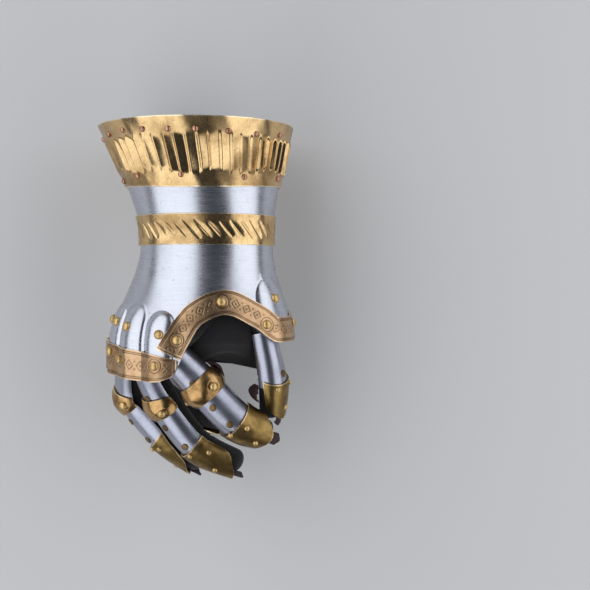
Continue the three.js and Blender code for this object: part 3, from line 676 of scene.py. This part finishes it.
# The wrist band, with a row of slanted lens-shaped chisel flutes
def make_wrist_band():
    angles, share = ring_grid(760, 36)
    y = mix(WRIST_BAND_ABOVE, -WRIST_BAND_BELOW, share)
    across = (share - 0.5) * (WRIST_BAND_ABOVE + WRIST_BAND_BELOW)
    number = (angles + across * 0.95) / (360 / WRIST_CUTS)
    index = np.floor(number)
    phase = number - index - 0.5
    half = 6.6 + 0.9 * np.sin(index * 5.17)
    lens = np.clip(1 - (across / half) ** 2, 0, None)
    # each cut is steep on its lower left side and opens slowly to the upper right
    side = np.where(phase < 0, 0.34, 0.1) * (0.4 + 0.6 * lens)
    groove = np.exp(-np.abs(phase / side) ** 1.6) * lens ** 0.6
    beaten = 0.1 * np.sin(angles * 0.23 + 5 * share)
    lift = BORDER_FACE - WRIST_CUT_DEPTH * groove + WRIST_CUT_SWELL * lens + beaten
    return ring_band("wrist_border", angles, y, lift, "wrist_band")


# The engraved borders of the arch and of the knuckles
ARCH_FROM, ARCH_TO = 99.6, -9.0
KNUCKLE_FROM, KNUCKLE_TO = 101.5, 206.0
ORNAMENT_PITCH = 9.0
ENGRAVED_DEPTH = 0.2
RIVET_CLEAR, RIVET_RING = 6.2, 5.3


def arch_place(angle, share):
    """Angle and distance of a point of the arch border, which keeps its width along the plate's edge."""
    step = 0.5
    width, depth, _ = section(edge_y(angle))
    turn = np.radians(angle)
    pace = np.hypot(width * np.sin(turn), depth * np.cos(turn)) * np.radians(1)
    rise = (edge_y(angle + step) - edge_y(angle - step)) / (2 * step * pace)
    lean = 1 / np.hypot(1, rise)
    across = share * ARCH_BAND_WIDTH
    return angle - rise * lean * across / pace, edge_y(angle) + lean * across


def knuckle_top(angle):
    share = np.clip((angle - KNUCKLE_FROM) / (KNUCKLE_TO - KNUCKLE_FROM), 0, 1)
    return edge_y(ARCH_FROM) - SKIN_GAP + 0.95 * KNUCKLE_BAND_WIDTH * share ** 0.7


def knuckle_place(angle, share):
    return angle, mix(edge_y(angle), knuckle_top(angle), share)


def engraving(run, share, width):
    """Depth of the engraved border lines and of the row of lozenges and dots between them. run is the
    distance along the band in mm, share the place across it."""
    across = share * width
    lines = np.zeros(np.broadcast(run, across).shape)
    for place in (1.4, 2.5, width - 2.5, width - 1.4):
        lines = np.maximum(lines, np.exp(-((across - place) / 0.3) ** 2))
    middle = across - width / 2
    cell = np.mod(run, ORNAMENT_PITCH) - ORNAMENT_PITCH / 2
    lozenge = np.abs(cell) / 3.1 + np.abs(middle) / 3.3
    outline = np.exp(-((lozenge - 1) / 0.13) ** 2)
    core = np.exp(-(np.hypot(cell, middle) / 0.75) ** 2)
    beside = np.mod(run + ORNAMENT_PITCH / 2, ORNAMENT_PITCH) - ORNAMENT_PITCH / 2
    dots = np.exp(-(np.hypot(beside, np.abs(middle) - 2.6) / 0.6) ** 2)
    return np.maximum.reduce([lines, 0.85 * outline, 0.8 * core, 0.8 * dots])


def make_engraved_band(name, place, first, last, columns, width, rivets, node):
    """A border with engraved lines along its edges, an ornament between them and a ring round each rivet."""
    rows = 46
    angles = np.linspace(first, last, columns + 1)
    fine = np.linspace(first, last, 1200)
    line = on_border(*place(fine, np.full_like(fine, 0.5)), 0.0)
    length = np.concatenate([[0], np.cumsum(np.linalg.norm(np.diff(line, axis=0), axis=1))])
    even = np.interp(np.linspace(0, length[-1], columns + 1), length, fine)
    angles = mix(angles, even, 0.8)
    run = np.interp(np.abs(angles - first), np.abs(fine - first), length)
    share = np.linspace(0, 1, rows + 1)[:, None]
    where, y = place(angles[None], share)
    ends = np.minimum(run, length[-1] - run)[None]
    cut = engraving(run[None], share, width) * smooth(2.5, 4.5, ends)
    cut = np.maximum(cut, np.exp(-((ends - 1.8) / 0.35) ** 2))
    face = on_border(where, y, BORDER_FACE)
    for angle, across in rivets:
        middle = on_border(*place(np.array(angle), across), BORDER_FACE)
        far = np.linalg.norm(face - middle, axis=-1)
        cut = np.where(far < RIVET_CLEAR, 0, cut)
        cut = np.maximum(cut, 0.9 * np.exp(-((far - RIVET_RING) / 0.35) ** 2))
    outer = on_border(where, y, BORDER_FACE - ENGRAVED_DEPTH * cut)
    inner = on_border(where, y, SKIN_GAP)
    piece = wall(name, outer, inner, False, BORDER_BRASS, marks={"engraved": cut})
    return settle(piece, "border_brass", node)


# Fingers
def catmull(points, u):
    """Centripetal curve through points, at u from 0 to the number of its spans."""
    p = [2 * points[0] - points[1], *points, 2 * points[-1] - points[-2]]
    result = np.zeros((len(u), 3))
    for k, value in enumerate(u):
        i = min(int(value), len(points) - 2)
        w = value - i
        a, b, c, d = p[i], p[i + 1], p[i + 2], p[i + 3]
        t0, t1, t2 = [max(np.linalg.norm(y - x) ** 0.5, 1e-9) for x, y in ((a, b), (b, c), (c, d))]
        m1 = ((b - a) / t0 - (c - a) / (t0 + t1) + (c - b) / t1) * t1
        m2 = ((c - b) / t1 - (d - b) / (t1 + t2) + (d - c) / t2) * t1
        result[k] = (b + w * m1 + w * w * (3 * (c - b) - 2 * m1 - m2)
                     + w ** 3 * (2 * (b - c) + m1 + m2))
    return result


class Finger:
    """A finger's axis through its joints, its radius and the direction of its back."""

    def __init__(self, name, root, side, elevation, scale, bones):
        joints = [np.array([root[0] * HAND[0], -root[1] * HAND_LENGTH, root[2] * HAND[1]])]
        for length, heading, drop in bones:
            h, d = np.radians(heading), np.radians(drop)
            way = np.array([np.sin(h) * np.cos(d), -np.cos(h) * np.cos(d), -np.sin(d)])
            joints.append(joints[-1] + way * length * HAND_LENGTH)
        self.name, self.scale, self.last = name, scale, len(bones)
        self.lengths = [bone[0] * HAND_LENGTH for bone in bones]
        up = np.radians(elevation)
        self.back = np.array([side * np.cos(up), 0, np.sin(up)])
        self.steps = np.linspace(0, self.last, 240)
        self.line = catmull(joints, self.steps)
        self.way = unit(np.gradient(self.line, axis=0))

    def frame(self, q):
        held = np.clip(q, 0, self.last)
        centre = np.stack([np.interp(held, self.steps, self.line[:, i]) for i in range(3)], -1)
        way = unit(np.stack([np.interp(held, self.steps, self.way[:, i]) for i in range(3)], -1))
        bone = np.where(q > self.last, self.lengths[-1], self.lengths[0])
        centre = centre + way * ((q - held) * bone)[..., None]
        back = unit(self.back - way * (way @ self.back)[..., None])
        return centre, way, back, np.cross(way, back)

    def point(self, q, angle, radius):
        q, angle, radius = np.broadcast_arrays(np.asarray(q, float), np.asarray(angle, float), radius)
        centre, _, back, flank = self.frame(q)
        root = mix(ROOT_NARROWING, 1, np.clip(q, 0, 1))
        tip = mix(1, TIP_NARROWING, np.clip(q - self.last + 1, 0, None))
        reach = (radius * self.scale * root * tip)[..., None]
        turn = np.radians(angle)[..., None]
        return centre + reach * (back * np.cos(turn) + flank * np.sin(turn))


HANDS = [Finger(*row) for row in FINGERS]


def bent_plate(name, finger, shape, inner_radius, thickness, material, size=(48, 28), bevel=0.22, middle=0):
    """A sheet bent round a finger. shape(across, along) gives place, half span and bulge."""
    across = np.linspace(-1, 1, size[0] + 1)[None]
    along = np.linspace(0, 1, size[1] + 1)[:, None]
    q, half, bulge, across = np.broadcast_arrays(*shape(across, along), across)
    angle = middle + across * half
    inner = finger.point(q, angle, inner_radius + bulge)
    outer = finger.point(q, angle, inner_radius + bulge + thickness)
    return wall(name, outer, inner, False, material, bevel)


def make_finger_steel(finger, name, ends, node):
    """A plain finger plate with rounded corners."""
    def shape(across, along):
        corner = 0.03 * np.abs(across) ** 8 * (2 * along - 1)
        return mix(*ends, along) - corner, PLATE_SPAN + 0 * across, 0.0

    piece = bent_plate(name, finger, shape, STEEL_IN, FINGER_WALL, FINGER_STEEL)
    return settle(piece, "finger_steel", node)


def cop_place(finger, across, along):
    """The place along the finger of a point of its cop, which is shorter at its ends."""
    before, after = COP_LENGTH / 2 / finger.lengths[0], COP_LENGTH / 2 / finger.lengths[1]
    return mix(1 - before, 1 + after, mix(0.5, along, 1 - 0.35 * across ** 4))


def cop_bulge(across, along):
    """The cop's fat roll, with a shallow dent beside its crown and flatter, rounded ends."""
    dome = np.clip(np.sin(np.pi * np.clip(along, 0, 1)), 0, None) ** 0.92
    dent = 0.75 * np.exp(-((across - 0.22) / 0.16) ** 2) * np.exp(-((along - 0.55) / 0.3) ** 2)
    return COP_BULGE * dome * (1 - 0.62 * across ** 4) - dent


def cop_spot(finger, spot, lift=0.0):
    """The place of a rivet on the cop, from its angle and its share of the cop's length."""
    def face(angle, along):
        across = angle / PLATE_SPAN
        q = cop_place(finger, across, along)
        return finger.point(np.array([q]), angle, BRASS_OUT + cop_bulge(across, np.array([along])) + lift)[0]

    angle, along = spot
    round_it = face(angle + 5, along) - face(angle - 5, along)
    out = np.cross(round_it, face(angle, along + 0.1) - face(angle, along - 0.1))
    foot = face(angle, along)
    out = unit(out) * np.sign(out @ (foot - finger.frame(np.array([1.0]))[0][0]))
    return foot, out, COP_RIVET_RADIUS


def make_cop(finger):
    """The domed knuckle cop: a fat roll over the joint with rounded ends and a ring round its rivet."""
    spot = cop_spot(finger, FINGER_RIVETS[finger.name][2])[0]

    def shape(across, along):
        q = cop_place(finger, across, along)
        bulge = cop_bulge(across, along)
        face = finger.point(q, across * PLATE_SPAN, BRASS_OUT + bulge)
        far = np.linalg.norm(face - spot, axis=-1)
        return q, PLATE_SPAN + 0 * across, bulge - 0.25 * np.exp(-((far - 4.4) / 0.4) ** 2)

    piece = bent_plate(f"{finger.name}_knuckle_cop", finger, shape, BRASS_IN, FINGER_WALL, COP_BRASS,
                       size=(84, 42), bevel=0.3)
    return settle(piece, "aged_brass", f"{finger.name}_cop")


def make_tip(finger, start, span):
    """The nail-shaped tip plate, with a concave base and a rounded end."""
    bone = finger.lengths[-1]

    def shape(across, along):
        q = mix(start + TIP_BASE_CURVE / bone * (1 - across ** 2), finger.last, along)
        q = q - TIP_ROUND / bone * smooth(0.6, 1, along) * across ** 2
        half = span * np.sqrt(1 - 0.82 * along ** 2.6)
        ridge = 0.45 * np.exp(-(across / 0.22) ** 2) * smooth(0.1, 0.5, along)
        return q, half, 0.2 * (1 - smooth(0, 0.05, along)) + ridge

    piece = bent_plate(f"{finger.name}_tip_plate", finger, shape, BRASS_IN, FINGER_WALL, AGED_BRASS,
                       size=(54, 42), bevel=0.3)
    return settle(piece, "aged_brass", f"{finger.name}_tip")


def ragged(along, seed, size):
    """A repeatable worn edge."""
    waves = np.sin(7 * along + seed) + 0.6 * np.sin(17 * along + 2.3 * seed) + 0.4 * np.sin(41 * along - seed)
    return size * waves


def make_leather(finger):
    """The strip under the plates, which ends beyond the tip in a worn, curling tab."""
    seed = 11 * finger.scale + finger.last
    tab = 7.5 / finger.lengths[-1]

    def shape(across, along):
        out = smooth(0.88, 1, along)
        q = mix(0.1, finger.last + tab, along) + ragged(across, seed, 0.012) * out
        half = LEATHER_SPAN * (1 + 0.25 * out) + ragged(along * 3, seed, 1.0) * (0.3 + out)
        return q - 0.12 * out * across ** 2, half, 0.3 * out * across - 1.2 * out ** 2

    piece = bent_plate(f"{finger.name}_leather_strip", finger, shape, LEATHER_IN, LEATHER_WALL, LEATHER,
                       size=(10, 90), bevel=0.15)
    return settle(piece, "leather", f"{finger.name}_leather")


def make_scrap(name, finger, first, last, angle, width, lift, seed):
    """Torn leather that stands out beside a finger's plates."""
    def shape(across, along):
        taper = np.sin(np.pi * np.clip(along * 0.86 + 0.1, 0, 1)) ** 0.5
        half = width * taper + ragged(along * 2, seed, 2.2)
        curl = 0.8 * ragged(along + across * 0.3, seed + 2, 0.4) * np.abs(across)
        return mix(first, last, along) + 0 * across, half, lift * np.sin(np.pi * along) + curl

    piece = bent_plate(name, finger, shape, STEEL_IN, LEATHER_WALL, LEATHER, size=(24, 60), bevel=0.15,
                       middle=angle)
    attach(piece, "root")
    return piece


# Glove
def wrinkle(points, size, seed):
    """A smooth, repeatable unevenness of cloth at points in millimetres."""
    result = np.zeros(points.shape[:-1])
    for k in range(6):
        turn = np.array([math.sin(seed + 1.7 * k), math.cos(seed * 1.3 + 2.1 * k), math.sin(0.7 * seed + k)])
        result += np.sin(points @ turn * (0.16 + 0.07 * k) + seed * k) / (1 + 0.4 * k)
    return size * result / 2.5


def lathe_faces(rings, sides):
    """Faces of a bag: rings of points, then one point that closes its far end."""
    faces = grid_faces(sides, rings - 1, True)
    last = rings * sides
    faces += [[(rings - 1) * sides + i, (rings - 1) * sides + (i + 1) % sides, last] for i in range(sides)]
    return faces


def make_glove_finger(finger):
    """A sewn glove finger, open at its root, with creases at the joints and a seam on each side."""
    sides, straight, rounded = 36, 78, 15
    dome_from, dome_length = finger.last - 0.12, 0.21
    q = np.concatenate([np.linspace(-0.25, dome_from, straight),
                        dome_from + dome_length * np.sin(np.linspace(0, np.pi / 2, rounded)[1:-1])])
    over = np.clip((q - finger.last + 0.12) / dome_length, 0, 1)
    dome = np.sqrt(np.clip(1 - over ** 2, 0.02, None))
    angles = np.linspace(0, 360, sides, endpoint=False)
    folds = [(joint, beside) for joint in range(1, finger.last) for beside in (-0.12, 0, 0.12)]
    creases = sum(np.exp(-((q - joint - beside) / 0.035) ** 2) for joint, beside in folds)
    under = np.clip(-np.cos(np.radians(angles)), 0, 1)
    seam = np.exp(-((np.abs(angles - 180) - 68) / 5) ** 2)
    shells = []
    for depth in (0.0, GLOVE_WALL):
        base = finger.point(q[:, None], angles[None], (FINGER_RADIUS - depth) * dome[:, None])
        uneven = wrinkle(base, 0.28, 3.1 + finger.scale * 9) - 0.9 * creases[:, None] * under[None]
        uneven = np.minimum(uneven, 0.25) - 0.35 * seam[None] * (1 if depth == 0 else 0)
        radius = (FINGER_RADIUS - depth + uneven) * dome[:, None]
        shells.append(finger.point(q[:, None], angles[None], radius))
    points = []
    for shell, depth in zip(shells, (0.0, GLOVE_WALL)):
        end = finger.point(np.array([finger.last + 0.09]), np.array([0.0]), 0.0)
        way = finger.frame(np.array([float(finger.last)]))[1]
        points += [shell.reshape(-1, 3), end - way * depth]
    count = len(q) * sides + 1
    bag = lathe_faces(len(q), sides)
    faces = bag + [[i + count for i in f[::-1]] for f in bag]
    for i in range(sides):
        k = (i + 1) % sides
        faces.append([k, i, count + i, count + k])
    piece = mesh_object(f"{finger.name}_glove_finger", np.concatenate(points), faces, GLOVE,
                        CLOTH_SHARP)
    return settle(piece, "glove_cloth", f"{finger.name}_glove")


def section_rings(rows, sides, count, inset, longer=0.0):
    """Rings through the glove's sections, with both ends moved along by longer."""
    table = np.array(rows, float)
    places = np.linspace(0, len(rows) - 1, count)
    reach, x, z, breadth, depth, turn, sag = [
        np.interp(places, np.arange(len(rows)), table[:, i]) for i in range(table.shape[1])]
    y = -reach * HAND_LENGTH
    width, height, shift = section(y)
    ease = PLATE_WALL + CLOTH_EASE
    angle = np.linspace(0, 2 * np.pi, sides, endpoint=False)[None]
    along = np.maximum(1, breadth * (width - ease) - inset)[:, None] * np.cos(angle)
    up = np.maximum(1, depth * (height - ease) - inset)[:, None] * np.sin(angle)
    turn = np.radians(turn)[:, None]
    px = (shift + x * width)[:, None] + along * np.cos(turn) - up * np.sin(turn)
    pz = (z * height)[:, None] + along * np.sin(turn) + up * np.cos(turn)
    py = y[:, None] + (sag * HAND_LENGTH)[:, None] * np.sin(angle) ** 2
    py[0] += longer
    py[-1] += longer
    return np.stack([px, py, pz], -1)


def loft_object(name, rings):
    """A closed loft, used only as a cutting or joining body."""
    sides = rings.shape[1]
    faces = grid_faces(sides, len(rings) - 1, True)
    faces.append(list(range(sides))[::-1])
    faces.append([(len(rings) - 1) * sides + i for i in range(sides)])
    return mesh_object(name, rings.reshape(-1, 3), faces, GLOVE, CLOTH_SHARP)


def combine(body, other, kind):
    """Joins or cuts two closed meshes and removes the second."""
    modifier = body.modifiers.new(kind.lower(), "BOOLEAN")
    modifier.operation = kind
    modifier.object = other
    modifier.solver = "MANIFOLD"
    plain_mesh(body)
    bpy.data.objects.remove(other)


def finger_core(finger, radius, first, last):
    q = np.linspace(first, last, 24)[:, None]
    angles = np.linspace(0, 360, 24, endpoint=False)[None]
    return finger.point(q, angles, radius)


def make_glove_wrist():
    """The glove's wrist, open at both ends, with a hem and slack folds."""
    outer = section_rings(GLOVE_WRIST, 120, 46, 0.0)
    inner = section_rings(GLOVE_WRIST, 120, 46, GLOVE_WALL)
    middle = outer.mean(1, keepdims=True)
    fold = np.minimum(wrinkle(outer, 0.5, 4.2), 0.2)[..., None]
    fold = fold - 0.5 * np.exp(-((np.arange(46) - 4) / 1.0) ** 2)[:, None, None]
    outer = outer + unit(outer - middle) * fold
    inner = inner + unit(inner - middle) * fold
    piece = wall("glove_wrist", outer, inner, True, GLOVE, sharp=CLOTH_SHARP)
    return settle(piece, "glove_cloth", "glove_cuff")


def make_palm():
    """The glove's palm: a loft and a web to the thumb, hollow, open at the wrist and at each finger."""
    body = loft_object("glove_palm", section_rings(GLOVE_PALM, 72, 60, 0.0))
    combine(body, loft_object("web", section_rings(GLOVE_WEB, 56, 36, 0.0)), "UNION")
    for name, rows, sides, count in (("hollow", GLOVE_PALM, 60, 40), ("hollow_web", GLOVE_WEB, 44, 26)):
        hollow = section_rings(rows, sides, count, GLOVE_WALL, GLOVE_WALL)
        combine(body, loft_object(name, hollow), "DIFFERENCE")
    for finger in HANDS:
        cut = finger_core(finger, FINGER_RADIUS + LAYER_GAP, -0.5, finger.last)
        combine(body, loft_object("cut", cut), "DIFFERENCE")
        slot = bent_plate("slot", finger, lambda across, along: (
            mix(-0.05, 0.8, along), PLATE_SPAN + 5 + 0 * across, 0.0), LEATHER_IN - LAYER_GAP,
            BRASS_IN - LEATHER_IN + LAYER_GAP, GLOVE, size=(24, 10), bevel=0)
        combine(body, slot, "DIFFERENCE")
    smooth_faces(body.data)
    body.data.set_sharp_from_angle(angle=math.radians(PALM_SHARP))
    return settle(body, "glove_cloth", "palm_glove")


# Rivets by geometry nodes: a dome on each point, turned to the point's aim and sized by its mark
DOME_SEGMENTS, DOME_RINGS = 24, 16
DOME_FOOT = 0.1
BELOW_MIDDLE = -0.02


def dome_tree(name, material, height, flat):
    """Flat flattens the top of a ball, and its lower half becomes a short straight foot."""
    tree, given, result = node_group(name, [
        ("Geometry", GEOMETRY, None), ("Height", FLOAT, height), ("Flat", FLOAT, flat),
        ("Foot", FLOAT, DOME_FOOT),
    ], [("Geometry", GEOMETRY)], "GeometryNodeTree")
    ball = add(tree, "GeometryNodeMeshUVSphere", Segments=DOME_SEGMENTS, Rings=DOME_RINGS, Radius=1.0)
    place = add(tree, "GeometryNodeInputPosition").outputs[0]
    parts = add(tree, "ShaderNodeSeparateXYZ", [("Vector", place)]).outputs
    power = sums(tree, "POWER", sums(tree, "MAXIMUM", parts["Z"], 0.0), given["Flat"])
    tall = sums(tree, "MULTIPLY", power, given["Height"])
    drop = sums(tree, "MULTIPLY", sums(tree, "LESS_THAN", parts["Z"], BELOW_MIDDLE), given["Foot"])
    moved = add(tree, "ShaderNodeCombineXYZ", [("X", parts["X"]), ("Y", parts["Y"]),
                ("Z", sums(tree, "SUBTRACT", tall, drop))])
    shaped = add(tree, "GeometryNodeSetPosition", [("Geometry", ball.outputs["Mesh"]),
                 ("Position", moved.outputs[0])])
    aim, size = [add(tree, "GeometryNodeInputNamedAttribute", data_type=kind, Name=mark).outputs["Attribute"]
                 for kind, mark in (("FLOAT_VECTOR", "aim"), ("FLOAT", "size"))]
    turn = add(tree, "FunctionNodeAlignRotationToVector", [("Vector", aim)], axis="Z")
    placed = add(tree, "GeometryNodeInstanceOnPoints", [("Points", given["Geometry"]),
                 ("Instance", shaped.outputs["Geometry"]), ("Rotation", turn.outputs[0]), ("Scale", size)])
    real = add(tree, "GeometryNodeRealizeInstances", [("Geometry", placed.outputs["Instances"])])
    painted = add(tree, "GeometryNodeSetMaterial", [("Geometry", real.outputs["Geometry"]),
                  ("Material", material)])
    put(tree, result["Geometry"], painted.outputs["Geometry"])
    return tree


def make_domes(name, places, material, slot, nodes=(), height=0.8, flat=0.8):
    """places are (point in mm, direction, radius in mm)."""
    points = into_frame([place[0] for place in places])
    mesh = bpy.data.meshes.new(name)
    mesh.from_pydata(points.tolist(), [], [])
    aims = turn_into_frame([place[1] for place in places]).astype(np.float32)
    mesh.attributes.new("aim", "FLOAT_VECTOR", "POINT").data.foreach_set("vector", aims.ravel())
    sizes = np.array([place[2] / 1000 for place in places], np.float32)
    mesh.attributes.new("size", "FLOAT", "POINT").data.foreach_set("value", sizes)
    holder = new_object(name, mesh)
    modifier = holder.modifiers.new("domes", "NODES")
    modifier.node_group = dome_tree(f"{name}_tree", material, height, flat)
    real = plain_mesh(holder)
    if not real.materials:
        real.materials.append(material)
    smooth_faces(real)
    return settle(holder, slot, *nodes)


def face_spot(face, angle, y, lift, radius):
    angle, y = np.array(float(angle)), np.array(float(y))
    return face(angle, y, lift), face_normal(face, angle, y), radius


def finger_spot(finger, q, angle, radius, size):
    _, _, back, flank = finger.frame(np.array([float(q)]))
    point = finger.point(np.array([float(q)]), float(angle), radius)[0]
    turn = math.radians(angle)
    return point, back[0] * math.cos(turn) + flank[0] * math.sin(turn), size


def make_rivets():
    """Large brass domes on the flutes, borders and cops, in one piece."""
    places, nodes = [], []
    for name, _, _, _, _, angle, share in FLUTES:
        places.append(face_spot(on_plate, angle, -share * HAND_LENGTH, 0.1, RIVET_RADIUS))
        nodes.append(f"{name}_flute_rivet")
    for number, (angle, share) in enumerate(ARCH_RIVETS, 1):
        places.append(face_spot(on_border, *arch_place(np.array(angle), share), BORDER_FACE, RIVET_RADIUS))
        nodes.append(f"arch_rivet_{number}")
    for number, (angle, share) in enumerate(KNUCKLE_RIVETS, 1):
        place = knuckle_place(np.array(angle), share)
        places.append(face_spot(on_border, *place, BORDER_FACE, RIVET_RADIUS - 0.1))
        nodes.append(f"knuckle_rivet_{number}")
    for finger in HANDS[:4]:
        places.append(cop_spot(finger, FINGER_RIVETS[finger.name][2]))
        nodes.append(f"{finger.name}_cop_rivet")
    make_domes("brass_dome_rivets", places, RIVET_BRASS, "rivet_brass", nodes, height=0.74)


def make_small_rivets():
    """Small domes of the tip plates, flat discs of the finger plates and copper rivets of the cuff."""
    tips, discs, cuff = [], [], []
    for finger in HANDS:
        tip_places, disc_places, _ = FINGER_RIVETS[finger.name]
        for q, angle in tip_places:
            tips.append(finger_spot(finger, q, angle, BRASS_OUT + 0.1, TIP_RIVET_RADIUS))
        for q, angle in disc_places:
            discs.append(finger_spot(finger, q, angle, STEEL_IN + FINGER_WALL + 0.1, DISC_RADIUS))
        if finger.last == 3:
            tips.append(cop_spot(finger, (82, 0.66), -0.1)[:2] + (TIP_RIVET_RADIUS,))
    for angle, y in CUFF_RIVETS:
        cuff.append(face_spot(on_plate, angle, y, CUFF_FACE, COPPER_RADIUS))
    make_domes("tip_plate_rivets", tips, RIVET_BRASS, "rivet_brass")
    make_domes("finger_plate_discs", discs, DISC_BRASS, "aged_brass", height=0.3, flat=0.3)
    make_domes("cuff_copper_rivets", cuff, COPPER, "pale_brass")


make_hand_plate()
make_cuff_band()
make_wrist_band()
make_engraved_band("arch_border", arch_place, ARCH_FROM, ARCH_TO, 500, ARCH_BAND_WIDTH, ARCH_RIVETS,
                   "arch_band")
make_engraved_band("knuckle_border", knuckle_place, KNUCKLE_FROM, KNUCKLE_TO, 400, KNUCKLE_BAND_WIDTH,
                   KNUCKLE_RIVETS, "knuckle_band")
for finger in HANDS:
    if finger.last == 2:
        make_finger_steel(finger, "thumb_steel_plate", THUMB_PLATE, "thumb_plate")
        make_tip(finger, THUMB_TIP_FROM, THUMB_TIP_SPAN)
    else:
        make_finger_steel(finger, f"{finger.name}_first_plate", FIRST_PLATE, f"{finger.name}_proximal_plate")
        make_finger_steel(finger, f"{finger.name}_second_plate", SECOND_PLATE, f"{finger.name}_middle_plate")
        make_cop(finger)
        make_tip(finger, TIP_FROM, PLATE_SPAN)
    make_leather(finger)
    make_glove_finger(finger)
make_scrap("index_torn_leather", HANDS[0], 0.66, 1.22, -112, 24, 5.5, 2.0)
make_scrap("thumb_leather_strap", HANDS[4], 1.0, 1.5, 116, 26, 6.0, 5.0)
make_glove_wrist()
make_palm()
make_rivets()
make_small_rivets()


# Floor, light and camera
FLOOR_REACH = 3.0
PANEL_AWAY, PANEL_LENGTH, PANEL_ABOVE = 0.9, 3.6, 0.06


def make_floor():
    material, tree, shader = new_material("pale_floor")
    put(tree, shader["Base Color"], (0.62, 0.62, 0.63, 1))
    put(tree, shader["Roughness"], 0.85)
    corners = [(x * FLOOR_REACH, y * FLOOR_REACH, 0) for x, y in ((-1, -1), (1, -1), (1, 1), (-1, 1))]
    mesh = bpy.data.meshes.new("floor")
    mesh.from_pydata(corners, [], [(0, 1, 2, 3)])
    mesh.materials.append(material)
    floor = new_object("floor", mesh)


def make_panel(name, tilt, span, radiance, colour):
    """A long soft panel along the hand. tilt is how far its middle leans from straight up to the right,
    span the angle that it fills, both in degrees."""
    width = 2 * PANEL_AWAY * math.tan(math.radians(span / 2))
    lamp = bpy.data.lights.new(name, "AREA")
    lamp.shape = "RECTANGLE"
    lamp.size, lamp.size_y = width, PANEL_LENGTH
    lamp.energy = radiance * math.pi * width * PANEL_LENGTH
    lamp.color = colour
    holder = new_object(name, lamp)
    turn = math.radians(tilt)
    holder.location = (PANEL_AWAY * math.sin(turn), 0, PANEL_AWAY * math.cos(turn) + PANEL_ABOVE)
    holder.rotation_euler = (0, turn, 0)
    holder.visible_camera = False


def make_studio():
    world = bpy.data.worlds.new("studio")
    world.use_nodes = True
    sky = world.node_tree.nodes["Background"].inputs
    sky["Color"].default_value = (0.4, 0.46, 0.6, 1)
    sky["Strength"].default_value = 0.06
    bpy.context.scene.world = world
    make_panel("left_panel", -47, 66, 1.5, (0.97, 0.985, 1))
    make_panel("right_panel", 57, 46, 1.5, (0.98, 0.99, 1))
    view = bpy.context.scene.view_settings
    view.view_transform = "Standard"
    view.look = "None"


def make_camera():
    lens = bpy.data.cameras.new("camera")
    lens.sensor_width = SENSOR
    lens.lens = SENSOR * CAMERA_HEIGHT / (PHOTO_SIZE * MM_PER_PIXEL)
    lens.clip_start, lens.clip_end = 0.05, 20
    camera = new_object("camera", lens)
    x = (MIDDLE_PIXEL[0] - WRIST_PIXEL[0]) * MM_PER_PIXEL
    y = (WRIST_PIXEL[1] - MIDDLE_PIXEL[1]) * MM_PER_PIXEL
    camera.location = into_frame([x, y, CAMERA_HEIGHT])
    camera.rotation_euler = (0, math.radians(REST_ROLL), 0)
    bpy.context.scene.camera = camera


make_floor()
make_studio()
make_camera()
